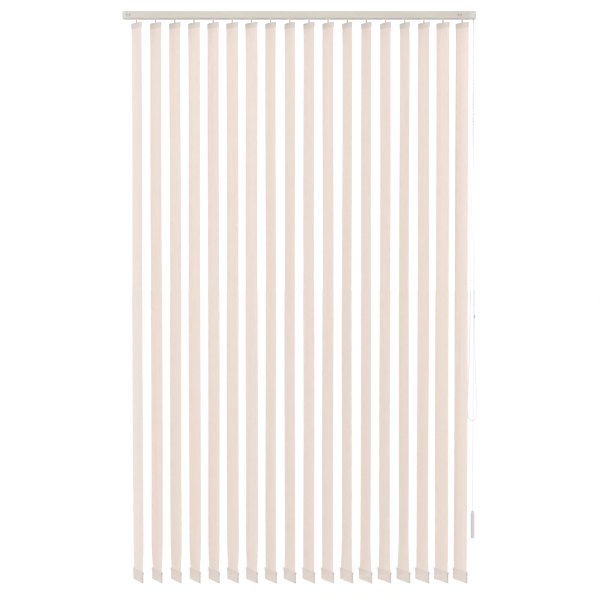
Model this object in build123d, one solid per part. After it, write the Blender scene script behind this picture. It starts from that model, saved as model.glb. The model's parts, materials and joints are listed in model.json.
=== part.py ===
from build123d import *
import math
import os

# Vertical blind. Millimetres. X runs along the rail, left to right as seen from the
# room, the room is towards -Y, and Z is up. The origin lies on the ceiling, midway
# between the two fixing holes of the swivel clips.

# ---- driving dimensions -------------------------------------------------------------
blind_width = 1500.0  # over both end pieces
blind_drop = 2440.0  # from the rail's top to the foot of the vanes
vane_count = 18
vane_width = 89.0
end_margin = 57.7  # from each end of the blind to the first vane's axis
rest_angle = 59.0  # of the vanes to the rail, their right edges towards the room
stack_pitch = 22.0  # between the vanes when they are drawn together
edge_radius = 1.2  # rounding along the rail and round both end pieces
overrun = 1.0  # how far a cutting solid runs past the face that it opens

# ---- clearances ---------------------------------------------------------------------
running = 0.05  # radial, of a pin or shaft that turns in its hole
sliding = 0.3  # between pieces that slide or turn past each other
seat = 0.1  # between pieces that are pushed together
touch = 0.05  # under a wheel on its track

# ---- headrail -----------------------------------------------------------------------
rail_depth = 45.0
rail_height = 32.0
rail_wall = 1.5
rail_slot = 13.0  # the opening along the underside
top_channel = 24.0  # width of the channel that the clips turn into
top_mouth = 15.0  # gap between the lips over that channel
top_gap = 2.4  # height under those lips
rail_lip = 1.2  # thickness of those lips
rail_web = 1.3  # floor of that channel
channel_wall = 1.2  # side walls of that channel
shelf_inset = 0.3  # of the open troughs beside it from the rail's side walls

# ---- swivel clips -------------------------------------------------------------------
clip_spacing = 1200.0
clip_plate = 1.5
clip_size = 34.0
clip_width = 26.0  # between the plate's two flats
clip_foot_length = 12.0  # of the foot, along the rail
clip_foot = 1.6  # thickness of the foot that turns under the lips
clip_hole_radius = 2.4

# ---- heights, from the ceiling down ---------------------------------------------------
rail_top = -clip_plate
rail_bottom = rail_top - rail_height
channel_floor = rail_top - rail_lip - top_gap
room_top = channel_floor - rail_web  # top of the hollow that the carriers run in
track_top = rail_bottom + rail_wall  # the two tracks that their wheels roll on
room_side = rail_depth / 2 - rail_wall  # inner face of each side wall
vane_foot = rail_top - blind_drop
half_depth = rail_depth / 2

# ---- tilt drive ---------------------------------------------------------------------
rod_radius = 3.0  # over its flutes
rod_flute = 0.9
rod_flutes = 4
rod_left_gap = 6.0  # from the return pulley's axis to the rod
rod_right_gap = 1.0  # from the chain to the rod
flute_offset = 0.2  # of each flute's axis outside the rod
rod_offset = 9.5  # its axis behind the stems' axes
rod_drop = 15.5  # its axis below the rail's top
worm_radius = 4.4
worm_length = 9.6
pinion_radius = 4.95
pinion_root = 4.2
pinion_teeth = 12
pinion_height = 6.4
sprocket_radius = 8.5  # to the middle of the chain
sprocket_width = 7.0
sprocket_rim = 1.0  # of the wheel past the middle of the chain
sprocket_cups = 8
hub_radius = 4.4
hub_end = 2.0  # the hub's reach through the web behind it
web_gap = 1.5  # from the web to the sprocket
bush_radius = 5.0
bush_length = 4.0

# ---- cord drive ---------------------------------------------------------------------
cord_radius = 0.9
cord_near = 9.5  # the inner strand's distance in front of the stems' axes
cord_gap = 7.0  # between the two strands
cord_drop = 13.5  # the strands' depth below the rail's top
pulley_radius = 7.5  # to the middle of the cord
pulley_flange = 1.3  # the flanges' height past the middle of the cord
pulley_width = 4.4
pin_radius = 1.5
pin_seat = 1.0  # of the pulleys' pin from the front wall, and into the web behind it
return_width = 5.0
return_rim = 0.6
flange_trim = 0.9  # that each flange stays below its full height
groove_gap = 0.2  # between the cord and the side of a groove
pin_reach = 3.0  # of the return pulley's pin past each side

# ---- carriers -----------------------------------------------------------------------
carrier_length = 20.0
carrier_corner = 1.5
block_gap = 0.8  # from the hollow's roof to the carrier's block
leg_gap = 0.4  # from the leg's foot to the rail's underside
lane_roof = 1.2  # from the block's top to the first lane
carrier_front = 18.4
carrier_back = 15.4
body_height = 16.4  # of the carrier's block, from its top down
leg_width = 11.0  # of the leg between the wheels
wheel_radius = 4.0
wheel_width = 3.6
wheel_reach = 13.2  # from the middle of the rail to the middle of a wheel
wheel_base = 10.4
axle_radius = 1.0
strip_lanes = 5
lane_height = 0.7
strip_thick = 0.4
strip_width = 8.0
strip_head = 11.0
strip_root = 13.4
head_length = 3.0
root_length = 5.4
recess_length = 6.0
head_gap = 0.6  # between a strip's head and the carrier that it catches
worm_rings = 3
ring_pitch = 2.6
ring_radius = 0.8
drive_gap = 0.2  # round the worm, the rings and the pinion in the block
tooth_gap = 0.35

# ---- stems and hangers --------------------------------------------------------------
stem_radius = 3.0
fork_width = 5.4
fork_thick = 4.6
fork_top = 1.0  # the fork's start below the rail
fork_length = 10.5
fork_pin_radius = 1.2
hanger_inset = 2.5  # of the hanger from each edge of the fabric
hanger_height = 20.5
hanger_thick = 1.2
hanger_corner = 2.0
tab_width = 11.0
tab_corner = 2.4
tab_rise = 3.4  # of the tab above the fork's pin
pin_rise = 4.2  # of the fork's pin above the fork's foot
fork_roof = 1.8  # solid part of the fork above its slot
fork_corner = 1.2
fork_gap = 0.2  # on each side of the hanger's tab, and of the pin's ends in the fork
shank_root = 0.5  # of the shank into the pinion and the fork
tab_root = 2.0  # of the tab into the hanger

# ---- vanes --------------------------------------------------------------------------
vane_gap = 14.6  # from the rail's underside to the top of the fabric
fabric = 0.5
top_pocket = 24.0
bottom_pocket = 50.0
top_pocket_thick = 2.6
bottom_pocket_thick = 3.2
fold_flat = 0.05  # half the flat along each fold
mouth_gap = 0.6  # on each side of the tab in the top fold
mouth_depth_gap = 0.2
weight_proud = 5.0  # of the weight past each edge of the fabric
weight_height = 45.0
weight_thick = 1.8
weight_corner = 4.0
ear_radius = 0.9
ear_gap = 1.0  # between an ear's post and the weight's side
ear_rise = 5.0  # of the post above the weight's top
ear_cap = 0.5  # of the cap past the post
ear_cap_height = 1.0
post_root = 0.1
ear_arm_top = 1.5  # the arm's top below the weight's top
ear_arm_foot = 6.0
ear_arm_root = 4.0  # the arm's overlap with the weight

# ---- bottom chains ------------------------------------------------------------------
link_radius = 0.9
eye_inner = 1.2
eye_outer = 2.2
eye_height = 1.4
link_sag = 13.0
link_bends = ((12.0, 0.62), (27.0, 0.94))  # reach from an eye, and share of the sag
eye_root = 0.3  # of a span into its eye
eye_lift = 0.3  # of an eye's middle above the post's middle

# ---- end pieces ---------------------------------------------------------------------
control_length = 28.0
control_wall = 2.0
web_wall = 1.5
web_root = 1.0  # of the housing's inner walls from its outer faces
pin_skin = 0.6  # of the front wall in front of the pulleys' pin
idle_length = 13.0
plug_length = 16.0  # of the parts that push into the rail
plug_wall = 1.6
plug_tail = 9.0  # of the idle cap's plug past the length that both plugs share
plug_root = 2.0  # of the control end's plug inside the housing
pulley_gap = 1.0
well_gap = 0.8  # round the return pulley in its well
cord_mouth = 2.0  # half the cords' opening, past each strand
cord_mouth_half = 2.2
chain_mouth = 0.9  # round the chain in its openings
mouth_depth = 3.0
nose_radius = 3.0
nose_reach = 1.2  # of the sprocket's nose into the housing's end wall
boss_radius = 5.0
tongue_length = 54.0  # of the tongue behind the rail's front wall
tongue_height = 12.0
cord_setback = 6.5  # of the cords from the control end
chain_setback = 9.0
return_setback = 26.0  # of the return pulley from the idle end
screw_head_radius = 3.0
screw_head_height = 0.9
screw_slot = 0.8
screw_end_gap = 0.5
screw_radius = 1.5
screw_length = 3.2
screw_drop = 17.0
idle_screws = (18.7, 31.5)  # from the idle end
control_screws = (65.5, 76.0)  # from the control end

# ---- hanging cords ------------------------------------------------------------------
arc_share = 0.45  # of a route's shorter run that each corner's arc takes
shortest_arc = 0.5
turn_gap = 0.05  # that the cord's two arcs round its pin fall short of a half turn
chain_radius = 2.25
chain_drop = 52.0  # of the straight runs below the sprocket's axis
connector_radius = 3.1
connector_length = 15.0
connector_edge = 0.5
connector_drop = 1299.0  # below the rail's top, to its middle
tassel_radius = 7.7
tassel_neck = 5.6
tassel_length = 117.0
tassel_taper = 16.0
bore_gap = 0.35  # between the cord and the tassel's bore
tassel_drop = 2133.0  # from the rail's top to the tassel's top
tassel_edge = 0.8
tassel_pin_depth = 40.0
tassel_pin_inset = 0.4
tassel_pin_well = 8.0  # the bore's depth below the pin's axis

# ---- places worked out from the above ------------------------------------------------
left_end = -blind_width / 2
right_end = blind_width / 2
rail_left = left_end + idle_length
rail_right = right_end - control_length
vane_pitch = (blind_width - 2 * end_margin) / (vane_count - 1)
vane_places = [left_end + end_margin + i * vane_pitch for i in range(vane_count)]
drive_z = rail_top - rod_drop
cord_z = rail_top - cord_drop
cord_x = right_end - cord_setback
chain_x = right_end - chain_setback
strand_near = -cord_near
strand_far = -cord_near - cord_gap
pulley_x = cord_x - pulley_radius
pulley_z = cord_z - pulley_radius
return_x = left_end + return_setback
fabric_top = rail_bottom - vane_gap
weight_foot = vane_foot + fabric + sliding
weight_top = weight_foot + weight_height
hanger_width = vane_width - 2 * hanger_inset
weight_width = vane_width + 2 * weight_proud
ear_reach = weight_width / 2 + ear_gap + ear_radius
eye_z = weight_top + ear_rise / 2 + eye_lift
wheel_z = track_top + wheel_radius + touch
block_top = room_top - block_gap
block_foot = block_top - body_height
lanes_top = block_top - lane_roof
screw_z = rail_top - screw_drop
fork_top_z = rail_bottom - fork_top
fork_foot_z = fork_top_z - fork_length
fork_pin_z = fork_foot_z + pin_rise
plug_end = rail_left + plug_length + plug_tail  # inner end of the idle cap's plug
web_x = chain_x - sprocket_width / 2 - web_gap  # face of the hub's wall, at the sprocket
web_y = strand_near + pulley_width / 2 + pulley_gap  # front face of the wall behind the pulleys
strand_middle = (strand_near + strand_far) / 2
tassel_top = rail_top - tassel_drop
tassel_pin_z = tassel_top - tassel_pin_depth
tassel_bore = cord_gap / 2 + cord_radius + bore_gap
tassel_pin_radius = cord_gap / 2 - cord_radius - seat
carrier_travel = (vane_count - 1) * (vane_pitch - stack_pitch)


def block(x, y, z):
    """A box between two coordinates along each axis, each given as a pair."""
    size = [abs(b - a) for a, b in (x, y, z)]
    middle = [(a + b) / 2 for a, b in (x, y, z)]
    return Pos(*middle) * Box(*size)


def along_x(radius, x, y, z):
    """A cylinder whose axis lies along X, from x[0] to x[1]."""
    middle = (x[0] + x[1]) / 2
    return Pos(middle, y, z) * Rot(0, 90, 0) * Cylinder(radius, abs(x[1] - x[0]))


def along_y(radius, x, y, z):
    """A cylinder whose axis lies along Y, from y[0] to y[1]."""
    middle = (y[0] + y[1]) / 2
    return Pos(x, middle, z) * Rot(90, 0, 0) * Cylinder(radius, abs(y[1] - y[0]))


def along_z(radius, x, y, z):
    """A cylinder whose axis lies along Z, from z[0] to z[1]."""
    return Pos(x, y, (z[0] + z[1]) / 2) * Cylinder(radius, abs(z[1] - z[0]))


def write(name, *pieces):
    """Write one node's pieces, each a separate solid, to its STEP file."""
    solids = [s for piece in pieces for s in piece.solids()]
    whole = solids[0] if len(solids) == 1 else Compound(children=solids)
    export_step(whole, f"parts/{name}.step")


# ---- headrail -----------------------------------------------------------------------
def headrail():
    """The extruded rail: a hollow with a slot below and a lipped channel on top."""
    x = (rail_left, rail_right)
    body = block(x, (-half_depth, half_depth), (rail_bottom, rail_top))
    body = fillet(body.edges().filter_by(Axis.X), edge_radius)
    body -= block(x, (-room_side, room_side), (track_top, room_top))
    slot_z = (rail_bottom - overrun, track_top + overrun)
    body -= block(x, (-rail_slot / 2, rail_slot / 2), slot_z)
    body -= block(x, (-top_channel / 2, top_channel / 2), (channel_floor, rail_top - rail_lip))
    body -= block(x, (-top_mouth / 2, top_mouth / 2), (channel_floor, rail_top + overrun))
    for side in (-1, 1):
        inner = side * (top_channel / 2 + channel_wall)
        outer = side * (room_side - shelf_inset)
        body -= block(x, (inner, outer), (channel_floor, rail_top - rail_wall))
    wall = (-half_depth - overrun, -room_side + overrun)
    for place in [right_end - s for s in control_screws] + [left_end + s for s in idle_screws]:
        body -= along_y(screw_radius + seat, place, wall, screw_z)
    return body


def swivel_clip(place):
    """A plate against the ceiling whose foot turns under the lips of the rail."""
    plate = along_z(clip_size / 2, place, 0, (rail_top, 0))
    flats = (-clip_width / 2, clip_width / 2)
    plate &= block((place - clip_size / 2, place + clip_size / 2), flats, (rail_top, 0))
    foot_z = (rail_top - rail_lip - seat - clip_foot, rail_top - rail_lip - seat)
    neck = along_z(top_mouth / 2 - sliding, place, 0, (foot_z[1], rail_top))
    foot_x = (place - clip_foot_length / 2, place + clip_foot_length / 2)
    foot_half = top_channel / 2 - sliding
    foot = block(foot_x, (-foot_half, foot_half), foot_z)
    hole = along_z(clip_hole_radius, place, 0, (foot_z[0] - overrun, overrun))
    return plate + neck + foot - hole


def screws(places):
    """Pan-headed screws through the rail's front wall, with a slot across each head."""
    face = -half_depth
    found = []
    for place in places:
        head = along_y(screw_head_radius, place, (face - screw_head_height, face), screw_z)
        shank = along_y(screw_radius, place, (face, face + screw_length), screw_z)
        slot = block(
            (place - screw_head_radius, place + screw_head_radius),
            (face - screw_head_height - overrun, face - screw_head_height / 2),
            (screw_z - screw_slot / 2, screw_z + screw_slot / 2),
        )
        found.append(head + shank - slot)
    return found


# ---- tilt drive ---------------------------------------------------------------------
def tilt_rod():
    """The fluted rod that turns every worm."""
    x = (return_x + rod_left_gap, chain_x - rod_right_gap)
    body = along_x(rod_radius, x, rod_offset, drive_z)
    for i in range(rod_flutes):
        angle = math.pi * (2 * i + 1) / rod_flutes
        y = rod_offset + (rod_radius + flute_offset) * math.cos(angle)
        z = drive_z + (rod_radius + flute_offset) * math.sin(angle)
        body -= along_x(rod_flute, (x[0] - overrun, x[1] + overrun), y, z)
    return body


def rod_bush():
    """The bush that the rod's idle end turns in."""
    x = (plug_end - bush_length, plug_end)
    body = along_x(bush_radius, x, rod_offset, drive_z)
    return body - along_x(rod_radius + running, x, rod_offset, drive_z)


def chain_sprocket():
    """The toothed wheel that the tilt chain turns, with its two journals."""
    x = (chain_x - sprocket_width / 2, chain_x + sprocket_width / 2)
    wheel = along_x(sprocket_radius + sprocket_rim, x, rod_offset, drive_z)
    groove = Torus(sprocket_radius, chain_radius + sliding)
    wheel -= Pos(chain_x, rod_offset, drive_z) * Rot(0, 90, 0) * groove
    for i in range(sprocket_cups):
        angle = 2 * math.pi * i / sprocket_cups
        y = rod_offset + sprocket_radius * math.cos(angle)
        z = drive_z + sprocket_radius * math.sin(angle)
        wheel -= Pos(chain_x, y, z) * Sphere(chain_radius + sliding)
    hub = along_x(hub_radius, (web_x - hub_end, x[0]), rod_offset, drive_z)
    nose_x = (x[1], right_end - control_wall + nose_reach)
    nose = along_x(nose_radius, nose_x, rod_offset, drive_z)
    socket_x = (web_x - hub_end - overrun, chain_x - rod_right_gap + seat)
    return wheel + hub + nose - along_x(rod_radius + seat, socket_x, rod_offset, drive_z)


# ---- cord drive ---------------------------------------------------------------------
def cord_pulley(y):
    """A grooved pulley on the control end's pin, for the strand at y."""
    sides = (y - pulley_width / 2, y + pulley_width / 2)
    rim = pulley_radius + pulley_flange - flange_trim
    body = along_y(rim, pulley_x, sides, pulley_z)
    groove = Rot(90, 0, 0) * Torus(pulley_radius, cord_radius + groove_gap)
    bore_y = (sides[0] - overrun, sides[1] + overrun)
    bore = along_y(pin_radius + running, pulley_x, bore_y, pulley_z)
    return body - Pos(pulley_x, y, pulley_z) * groove - bore


def pulley_pin():
    """The pin of the two cord pulleys, from the front wall to the housing's web."""
    return along_y(pin_radius, pulley_x, (-room_side + pin_seat, web_y + pin_seat), pulley_z)


def return_pulley():
    """The small upright pulley at the idle end that sends the cord back."""
    z = (cord_z - return_width / 2, cord_z + return_width / 2)
    body = along_z(cord_gap / 2 + return_rim, return_x, strand_middle, z)
    groove = Pos(return_x, strand_middle, cord_z) * Torus(cord_gap / 2, cord_radius + groove_gap)
    bore_z = (z[0] - overrun, z[1] + overrun)
    return body - groove - along_z(pin_radius + running, return_x, strand_middle, bore_z)


def return_pin():
    """The pin of the return pulley, held at both ends in the idle cap's plug."""
    reach = return_width / 2 + pin_reach
    return along_z(pin_radius, return_x, strand_middle, (cord_z - reach, cord_z + reach))


# ---- end pieces ---------------------------------------------------------------------
def control_housing():
    """The moulded end that holds the sprocket and the cord pulleys, with its plug."""
    x = (rail_right, right_end)
    body = block(x, (-half_depth, half_depth), (rail_bottom, rail_top))
    rim = body.edges().filter_by(Axis.X) + body.faces().sort_by(Axis.X)[-1].edges()
    body = fillet(rim, edge_radius)
    inside = (-half_depth + control_wall, half_depth - control_wall)
    hollow_z = (rail_bottom + control_wall, rail_top - control_wall)
    body -= block((rail_right - overrun, right_end - control_wall), inside, hollow_z)
    web_z = (rail_bottom + web_root, rail_top - web_root)
    across = (web_y, web_y + web_wall)
    body += block((rail_right, right_end - web_root), across, web_z)
    body += block((web_x - hub_end, web_x), (web_y, half_depth - web_root), web_z)
    hub_x = (web_x - hub_end - overrun, web_x + overrun)
    body -= along_x(hub_radius + running, hub_x, rod_offset, drive_z)
    boss_x = (right_end - control_wall - nose_reach, right_end - web_root)
    body += along_x(boss_radius, boss_x, rod_offset, drive_z)
    nose_x = (boss_x[0] - 2 * overrun, right_end - control_wall + nose_reach + drive_gap)
    body -= along_x(nose_radius + running, nose_x, rod_offset, drive_z)
    pin_y = (-half_depth + pin_skin, across[1] + overrun)
    body -= along_y(pin_radius + running, pulley_x, pin_y, pulley_z)
    mouth_z = (rail_bottom - overrun, rail_bottom + mouth_depth)
    cord_y = (strand_far - cord_mouth, strand_near + cord_mouth)
    body -= block((cord_x - cord_mouth_half, cord_x + cord_mouth_half), cord_y, mouth_z)
    chain_half = chain_radius + chain_mouth
    for y in (rod_offset - sprocket_radius, rod_offset + sprocket_radius):
        chain_y = (y - chain_half, y + chain_half)
        body -= block((chain_x - chain_half, chain_x + chain_half), chain_y, mouth_z)
    return body + control_plug()


def control_plug():
    """The two cheeks and the long front tongue that push into the rail."""
    outer = room_side - seat
    front = (-outer, -outer + plug_wall)
    z = (track_top + seat, room_top - seat)
    x = (rail_right - plug_length, rail_right + plug_root)
    plug = block(x, front, z) + block(x, (outer - plug_wall, outer), z)
    tongue_z = (screw_z - tongue_height / 2, screw_z + tongue_height / 2)
    plug += block((rail_right - tongue_length, x[1]), front, tongue_z)
    hole_y = (front[0] - overrun, front[1] + overrun)
    for place in control_screws:
        plug -= along_y(screw_radius + seat, right_end - place, hole_y, screw_z)
    return plug


def idle_end_cap():
    """The cap at the idle end, with the plug that holds the return pulley and the bush."""
    body = block((left_end, rail_left), (-half_depth, half_depth), (rail_bottom, rail_top))
    rim = body.edges().filter_by(Axis.X) + body.faces().sort_by(Axis.X)[0].edges()
    body = fillet(rim, edge_radius)
    outer = room_side - seat
    z = (track_top + seat, room_top - seat)
    body += block((rail_left - overrun, plug_end), (-outer, outer), z)
    well = cord_gap / 2 + cord_radius + well_gap
    well_y = (strand_middle - well, strand_middle + well)
    well_z = (cord_z - return_width / 2 - sliding, cord_z + return_width / 2 + sliding)
    body -= block((return_x - well, plug_end + overrun), well_y, well_z)
    reach = return_width / 2 + pin_reach
    pin_z = (cord_z - reach, cord_z + reach)
    body -= along_z(pin_radius + running, return_x, strand_middle, pin_z)
    bush_x = (plug_end - bush_length, plug_end + overrun)
    body -= along_x(bush_radius + running, bush_x, rod_offset, drive_z)
    rod_x = (return_x + rod_left_gap - 2 * overrun, plug_end + overrun)
    body -= along_x(rod_radius + sliding, rod_x, rod_offset, drive_z)
    hole_y = (-half_depth - overrun, -half_depth + screw_length + screw_end_gap)
    for place in idle_screws:
        body -= along_y(screw_radius + seat, left_end + place, hole_y, screw_z)
    return body


# ---- carriers -----------------------------------------------------------------------
def lane_z(lane):
    """The lowest and highest point of a spacer strip's lane."""
    top = lanes_top - lane * lane_height
    return (top - lane_height, top)


def carrier_body(number):
    """A carrier's moulding, with its bores and the window that the strips pass through."""
    half = carrier_length / 2
    through = (-half - overrun, half + overrun)
    body = block((-half, half), (-carrier_front, carrier_back), (block_foot, block_top))
    body = fillet(body.edges().filter_by(Axis.Z), carrier_corner)
    leg_z = (rail_bottom + leg_gap, block_foot)
    body += block((-half, half), (-leg_width / 2, leg_width / 2), leg_z)
    for x in (-wheel_base / 2, wheel_base / 2):
        reach = wheel_reach + wheel_width / 2 + sliding
        body += along_y(axle_radius, x, (-reach, reach), wheel_z)
    for lane in range(strip_lanes):
        catches = lane == (number + 1) % strip_lanes
        width = strip_width if catches else strip_head
        opening = width / 2 + sliding
        body -= block(through, (-opening, opening), lane_z(lane))
    recess = strip_root / 2 + seat
    recess_x = (-recess_length / 2, recess_length / 2)
    body -= block(recess_x, (-recess, recess), lane_z(number % strip_lanes))
    body -= along_z(stem_radius + running, 0, 0, (rail_bottom - overrun, drive_z))
    gap = pinion_height / 2 + drive_gap
    body -= along_z(pinion_radius + tooth_gap, 0, 0, (drive_z - gap, drive_z + gap))
    reach = worm_length / 2 + drive_gap
    body -= along_x(worm_radius + drive_gap, (-reach, reach), rod_offset, drive_z)
    body -= along_x(rod_radius + sliding, through, rod_offset, drive_z)
    for y in (strand_near, strand_far):
        body -= along_x(cord_radius + sliding, through, y, cord_z)
    return body


def carrier_wheels():
    """The four wheels that roll on the rail's tracks."""
    found = []
    for x in (-wheel_base / 2, wheel_base / 2):
        for side in (-1, 1):
            y = side * wheel_reach
            sides = (y - wheel_width / 2, y + wheel_width / 2)
            wheel = along_y(wheel_radius, x, sides, wheel_z)
            bore_y = (sides[0] - overrun, sides[1] + overrun)
            found.append(wheel - along_y(axle_radius + running, x, bore_y, wheel_z))
    return found


def worm():
    """The worm between the rod and the stem's pinion, its thread shown as rings."""
    half = worm_length / 2
    body = along_x(worm_radius, (-half, half), rod_offset, drive_z)
    ring = Rot(0, 90, 0) * Torus(worm_radius + drive_gap, ring_radius)
    for i in range(worm_rings):
        x = (i - (worm_rings - 1) / 2) * ring_pitch
        body -= Pos(x, rod_offset, drive_z) * ring
    bore_x = (-half - overrun, half + overrun)
    return body - along_x(rod_radius + running, bore_x, rod_offset, drive_z)


def spacer_strip(number):
    """The strip that ties a carrier to the one before it, headed at both ends."""
    low, high = lane_z(number % strip_lanes)
    z = ((low + high - strip_thick) / 2, (low + high + strip_thick) / 2)
    end = -vane_pitch - carrier_length / 2 - head_gap
    root = root_length / 2
    strip = block((end - head_length, root), (-strip_width / 2, strip_width / 2), z)
    strip += block((end - head_length, end), (-strip_head / 2, strip_head / 2), z)
    return strip + block((-root, root), (-strip_root / 2, strip_root / 2), z)


def carrier(number):
    """All the pieces of one carrier, at its place along the rail."""
    pieces = [carrier_body(number), *carrier_wheels(), worm()]
    if number > 1:
        pieces.append(spacer_strip(number))
    return [Pos(vane_places[number - 1], 0, 0) * piece for piece in pieces]


# ---- vanes --------------------------------------------------------------------------
def stem():
    """The stem that carries a vane: its pinion above and its fork below."""
    half = pinion_height / 2
    pinion = along_z(pinion_radius, 0, 0, (drive_z - half, drive_z + half))
    reach = pinion_radius + tooth_gap
    gap = Cylinder(reach - pinion_root, pinion_height + overrun)
    for i in range(pinion_teeth):
        angle = 2 * math.pi * i / pinion_teeth
        pinion -= Pos(reach * math.cos(angle), reach * math.sin(angle), drive_z) * gap
    shank_z = (fork_top_z - shank_root, drive_z - half + shank_root)
    shank = along_z(stem_radius, 0, 0, shank_z)
    across = (-fork_width / 2, fork_width / 2)
    fork = block(across, (-fork_thick / 2, fork_thick / 2), (fork_foot_z, fork_top_z))
    fork = fillet(fork.edges().filter_by(Axis.Y).group_by(Axis.Z)[0], fork_corner)
    slot = hanger_thick / 2 + fork_gap
    slot_x = (across[0] - overrun, across[1] + overrun)
    fork -= block(slot_x, (-slot, slot), (fork_foot_z - overrun, fork_top_z - fork_roof))
    pin_y = (-slot - fork_gap, slot + fork_gap)
    return pinion + shank + fork + along_y(fork_pin_radius, 0, pin_y, fork_pin_z)


def hanger():
    """The stiff strip in a vane's top pocket, with the tab that hangs on the fork."""
    top = fabric_top - fabric - sliding
    thick = (-hanger_thick / 2, hanger_thick / 2)
    body = block((-hanger_width / 2, hanger_width / 2), thick, (top - hanger_height, top))
    body = fillet(body.edges().filter_by(Axis.Y), hanger_corner)
    tab_z = (top - tab_root, fork_pin_z + tab_rise)
    tab = block((-tab_width / 2, tab_width / 2), thick, tab_z)
    tab = fillet(tab.edges().filter_by(Axis.Y).group_by(Axis.Z)[-1], tab_corner)
    hole_y = (thick[0] - overrun, thick[1] + overrun)
    return body + tab - along_y(fork_pin_radius + running, 0, hole_y, fork_pin_z)


def pocket(thick, z):
    """A flattened loop of fabric between two heights, open at its two sides."""
    outer = block((-vane_width / 2, vane_width / 2), (-thick / 2, thick / 2), z)
    outer = fillet(outer.edges().filter_by(Axis.X), thick / 2 - fold_flat)
    inner_half = thick / 2 - fabric
    inner_z = (z[0] + fabric, z[1] - fabric)
    inner = block((-vane_width, vane_width), (-inner_half, inner_half), inner_z)
    return outer - inner


def vane_fabric():
    """The fabric of one vane: a flat web with a welded pocket at its top and bottom."""
    half = vane_width / 2
    top = (fabric_top - top_pocket, fabric_top)
    foot = (vane_foot, vane_foot + bottom_pocket)
    web = block((-half, half), (-fabric / 2, fabric / 2), (foot[1] - fabric, top[0] + fabric))
    body = web + pocket(top_pocket_thick, top) + pocket(bottom_pocket_thick, foot)
    mouth = tab_width / 2 + mouth_gap
    mouth_z = (fabric_top - fabric - mouth_depth_gap, fabric_top + overrun)
    return body - block((-mouth, mouth), (-top_pocket_thick, top_pocket_thick), mouth_z)


def bottom_weight():
    """The flat weight in the bottom pocket, with an ear and a post at each top corner."""
    thick = (-weight_thick / 2, weight_thick / 2)
    half = weight_width / 2
    body = block((-half, half), thick, (weight_foot, weight_top))
    body = fillet(body.edges().filter_by(Axis.Y), weight_corner)
    for side in (-1, 1):
        arm_x = (side * (half - ear_arm_root), side * (ear_reach + ear_radius))
        arm_z = (weight_top - ear_arm_foot, weight_top - ear_arm_top)
        body += block(arm_x, thick, arm_z)
        post_z = (arm_z[1] - post_root, weight_top + ear_rise)
        body += along_z(ear_radius, side * ear_reach, 0, post_z)
        cap_z = (post_z[1] - ear_cap_height, post_z[1])
        body += along_z(ear_radius + ear_cap, side * ear_reach, 0, cap_z)
    return body


def vane(number):
    """All the pieces that turn with one vane, at their place and rest angle."""
    place = Pos(vane_places[number - 1], 0, 0) * Rot(0, 0, -rest_angle)
    return [place * piece for piece in (stem(), hanger(), vane_fabric(), bottom_weight())]


# ---- bottom chains ------------------------------------------------------------------
def chain_eye(x, y):
    """The ring of a bottom chain that turns on an ear's post."""
    ring = along_z(eye_outer, x, y, (eye_z - eye_height / 2, eye_z + eye_height / 2))
    return ring - along_z(eye_inner, x, y, (eye_z - eye_height, eye_z + eye_height))


def bottom_chain(side):
    """The chain along the vanes' front edges (side -1) or rear edges (side 1)."""
    turn = math.radians(rest_angle)
    shift = -side * ear_reach * math.cos(turn)
    y = side * ear_reach * math.sin(turn)
    route = [(eye_outer - eye_root, y, eye_z)]
    route += [(reach, y, eye_z - link_sag * share) for reach, share in link_bends]
    back = [(vane_pitch - reach, y, eye_z - link_sag * share) for reach, share in link_bends]
    route += reversed(back)
    route.append((vane_pitch - eye_outer - link_radius - seat, y, eye_z))
    span = cord_tube(route, link_radius, "bottom chain")
    link = span + chain_eye(0, y)
    places = [x + shift for x in vane_places]
    links = [Pos(x, 0, 0) * link for x in places[:-1]]
    return [*links, chain_eye(places[-1], y)]


# ---- hanging cords ------------------------------------------------------------------
def corner_radii(points, shortest):
    """The radius at each corner of a route: 0.45 of its shorter run over the half turn."""
    at = [Vector(*p) for p in points]
    found = []
    for a, b, c in zip(at, at[1:], at[2:]):
        before, after = b - a, c - b
        run = min(before.length, after.length)
        half_turn = math.radians(before.get_angle(after)) / 2
        found.append(max(shortest, arc_share * run / math.tan(half_turn)))
    return found


def cord_tube(points, radius, name, radii=None):
    """A round tube of straight runs joined by tangent arcs."""
    radii = radii or corner_radii(points, shortest_arc)
    path = FilletPolyline(*points, radius=radii)
    start = Plane(origin=path @ 0, z_dir=path % 0)
    tube = sweep(start * Circle(radius), path=path)
    whole = math.pi * radius**2 * path.length
    print(name, "length", round(path.length, 1), "radii", [round(r, 1) for r in radii])
    print(name, "volume over section by length", round(tube.volume / whole, 4))
    return tube


def chain_route():
    """The free loop of the tilt chain, from the sprocket's front side to its back."""
    front = rod_offset - sprocket_radius
    back = rod_offset + sprocket_radius
    top = rail_top
    return [
        (chain_x, front, drive_z),
        (chain_x, front, drive_z - chain_drop),
        (chain_x - 9.6, 0.4, top - 1330),
        (chain_x - 14.0, 0.2, top - 1500),
        (chain_x - 18.6, 0.0, top - 1616),
        (chain_x - 20.9, 0.0, top - 1686),
        (chain_x - 19.0, 0.3, top - 1726),
        (chain_x - 8.5, 1.2, top - 1746),
        (chain_x + 8.2, 2.6, top - 1747),
        (chain_x + 19.6, 3.6, top - 1729),
        (chain_x + 21.6, 4.0, top - 1690),
        (chain_x + 18.9, 4.6, top - 1622),
        (chain_x + 14.5, 5.6, top - 1540),
        (chain_x + 10.2, 7.0, top - 1402),
        (chain_x, back, drive_z - chain_drop),
        (chain_x, back, drive_z),
    ]


def chain_wrap():
    """The half turn of the tilt chain over its sprocket."""
    axis = Plane(origin=(chain_x, rod_offset, drive_z), x_dir=(0, 1, 0), z_dir=(1, 0, 0))
    path = axis * CenterArc((0, 0), sprocket_radius, 0, 180)
    start = Plane(origin=path @ 0, z_dir=path % 0)
    return sweep(start * Circle(chain_radius), path=path)


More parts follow.
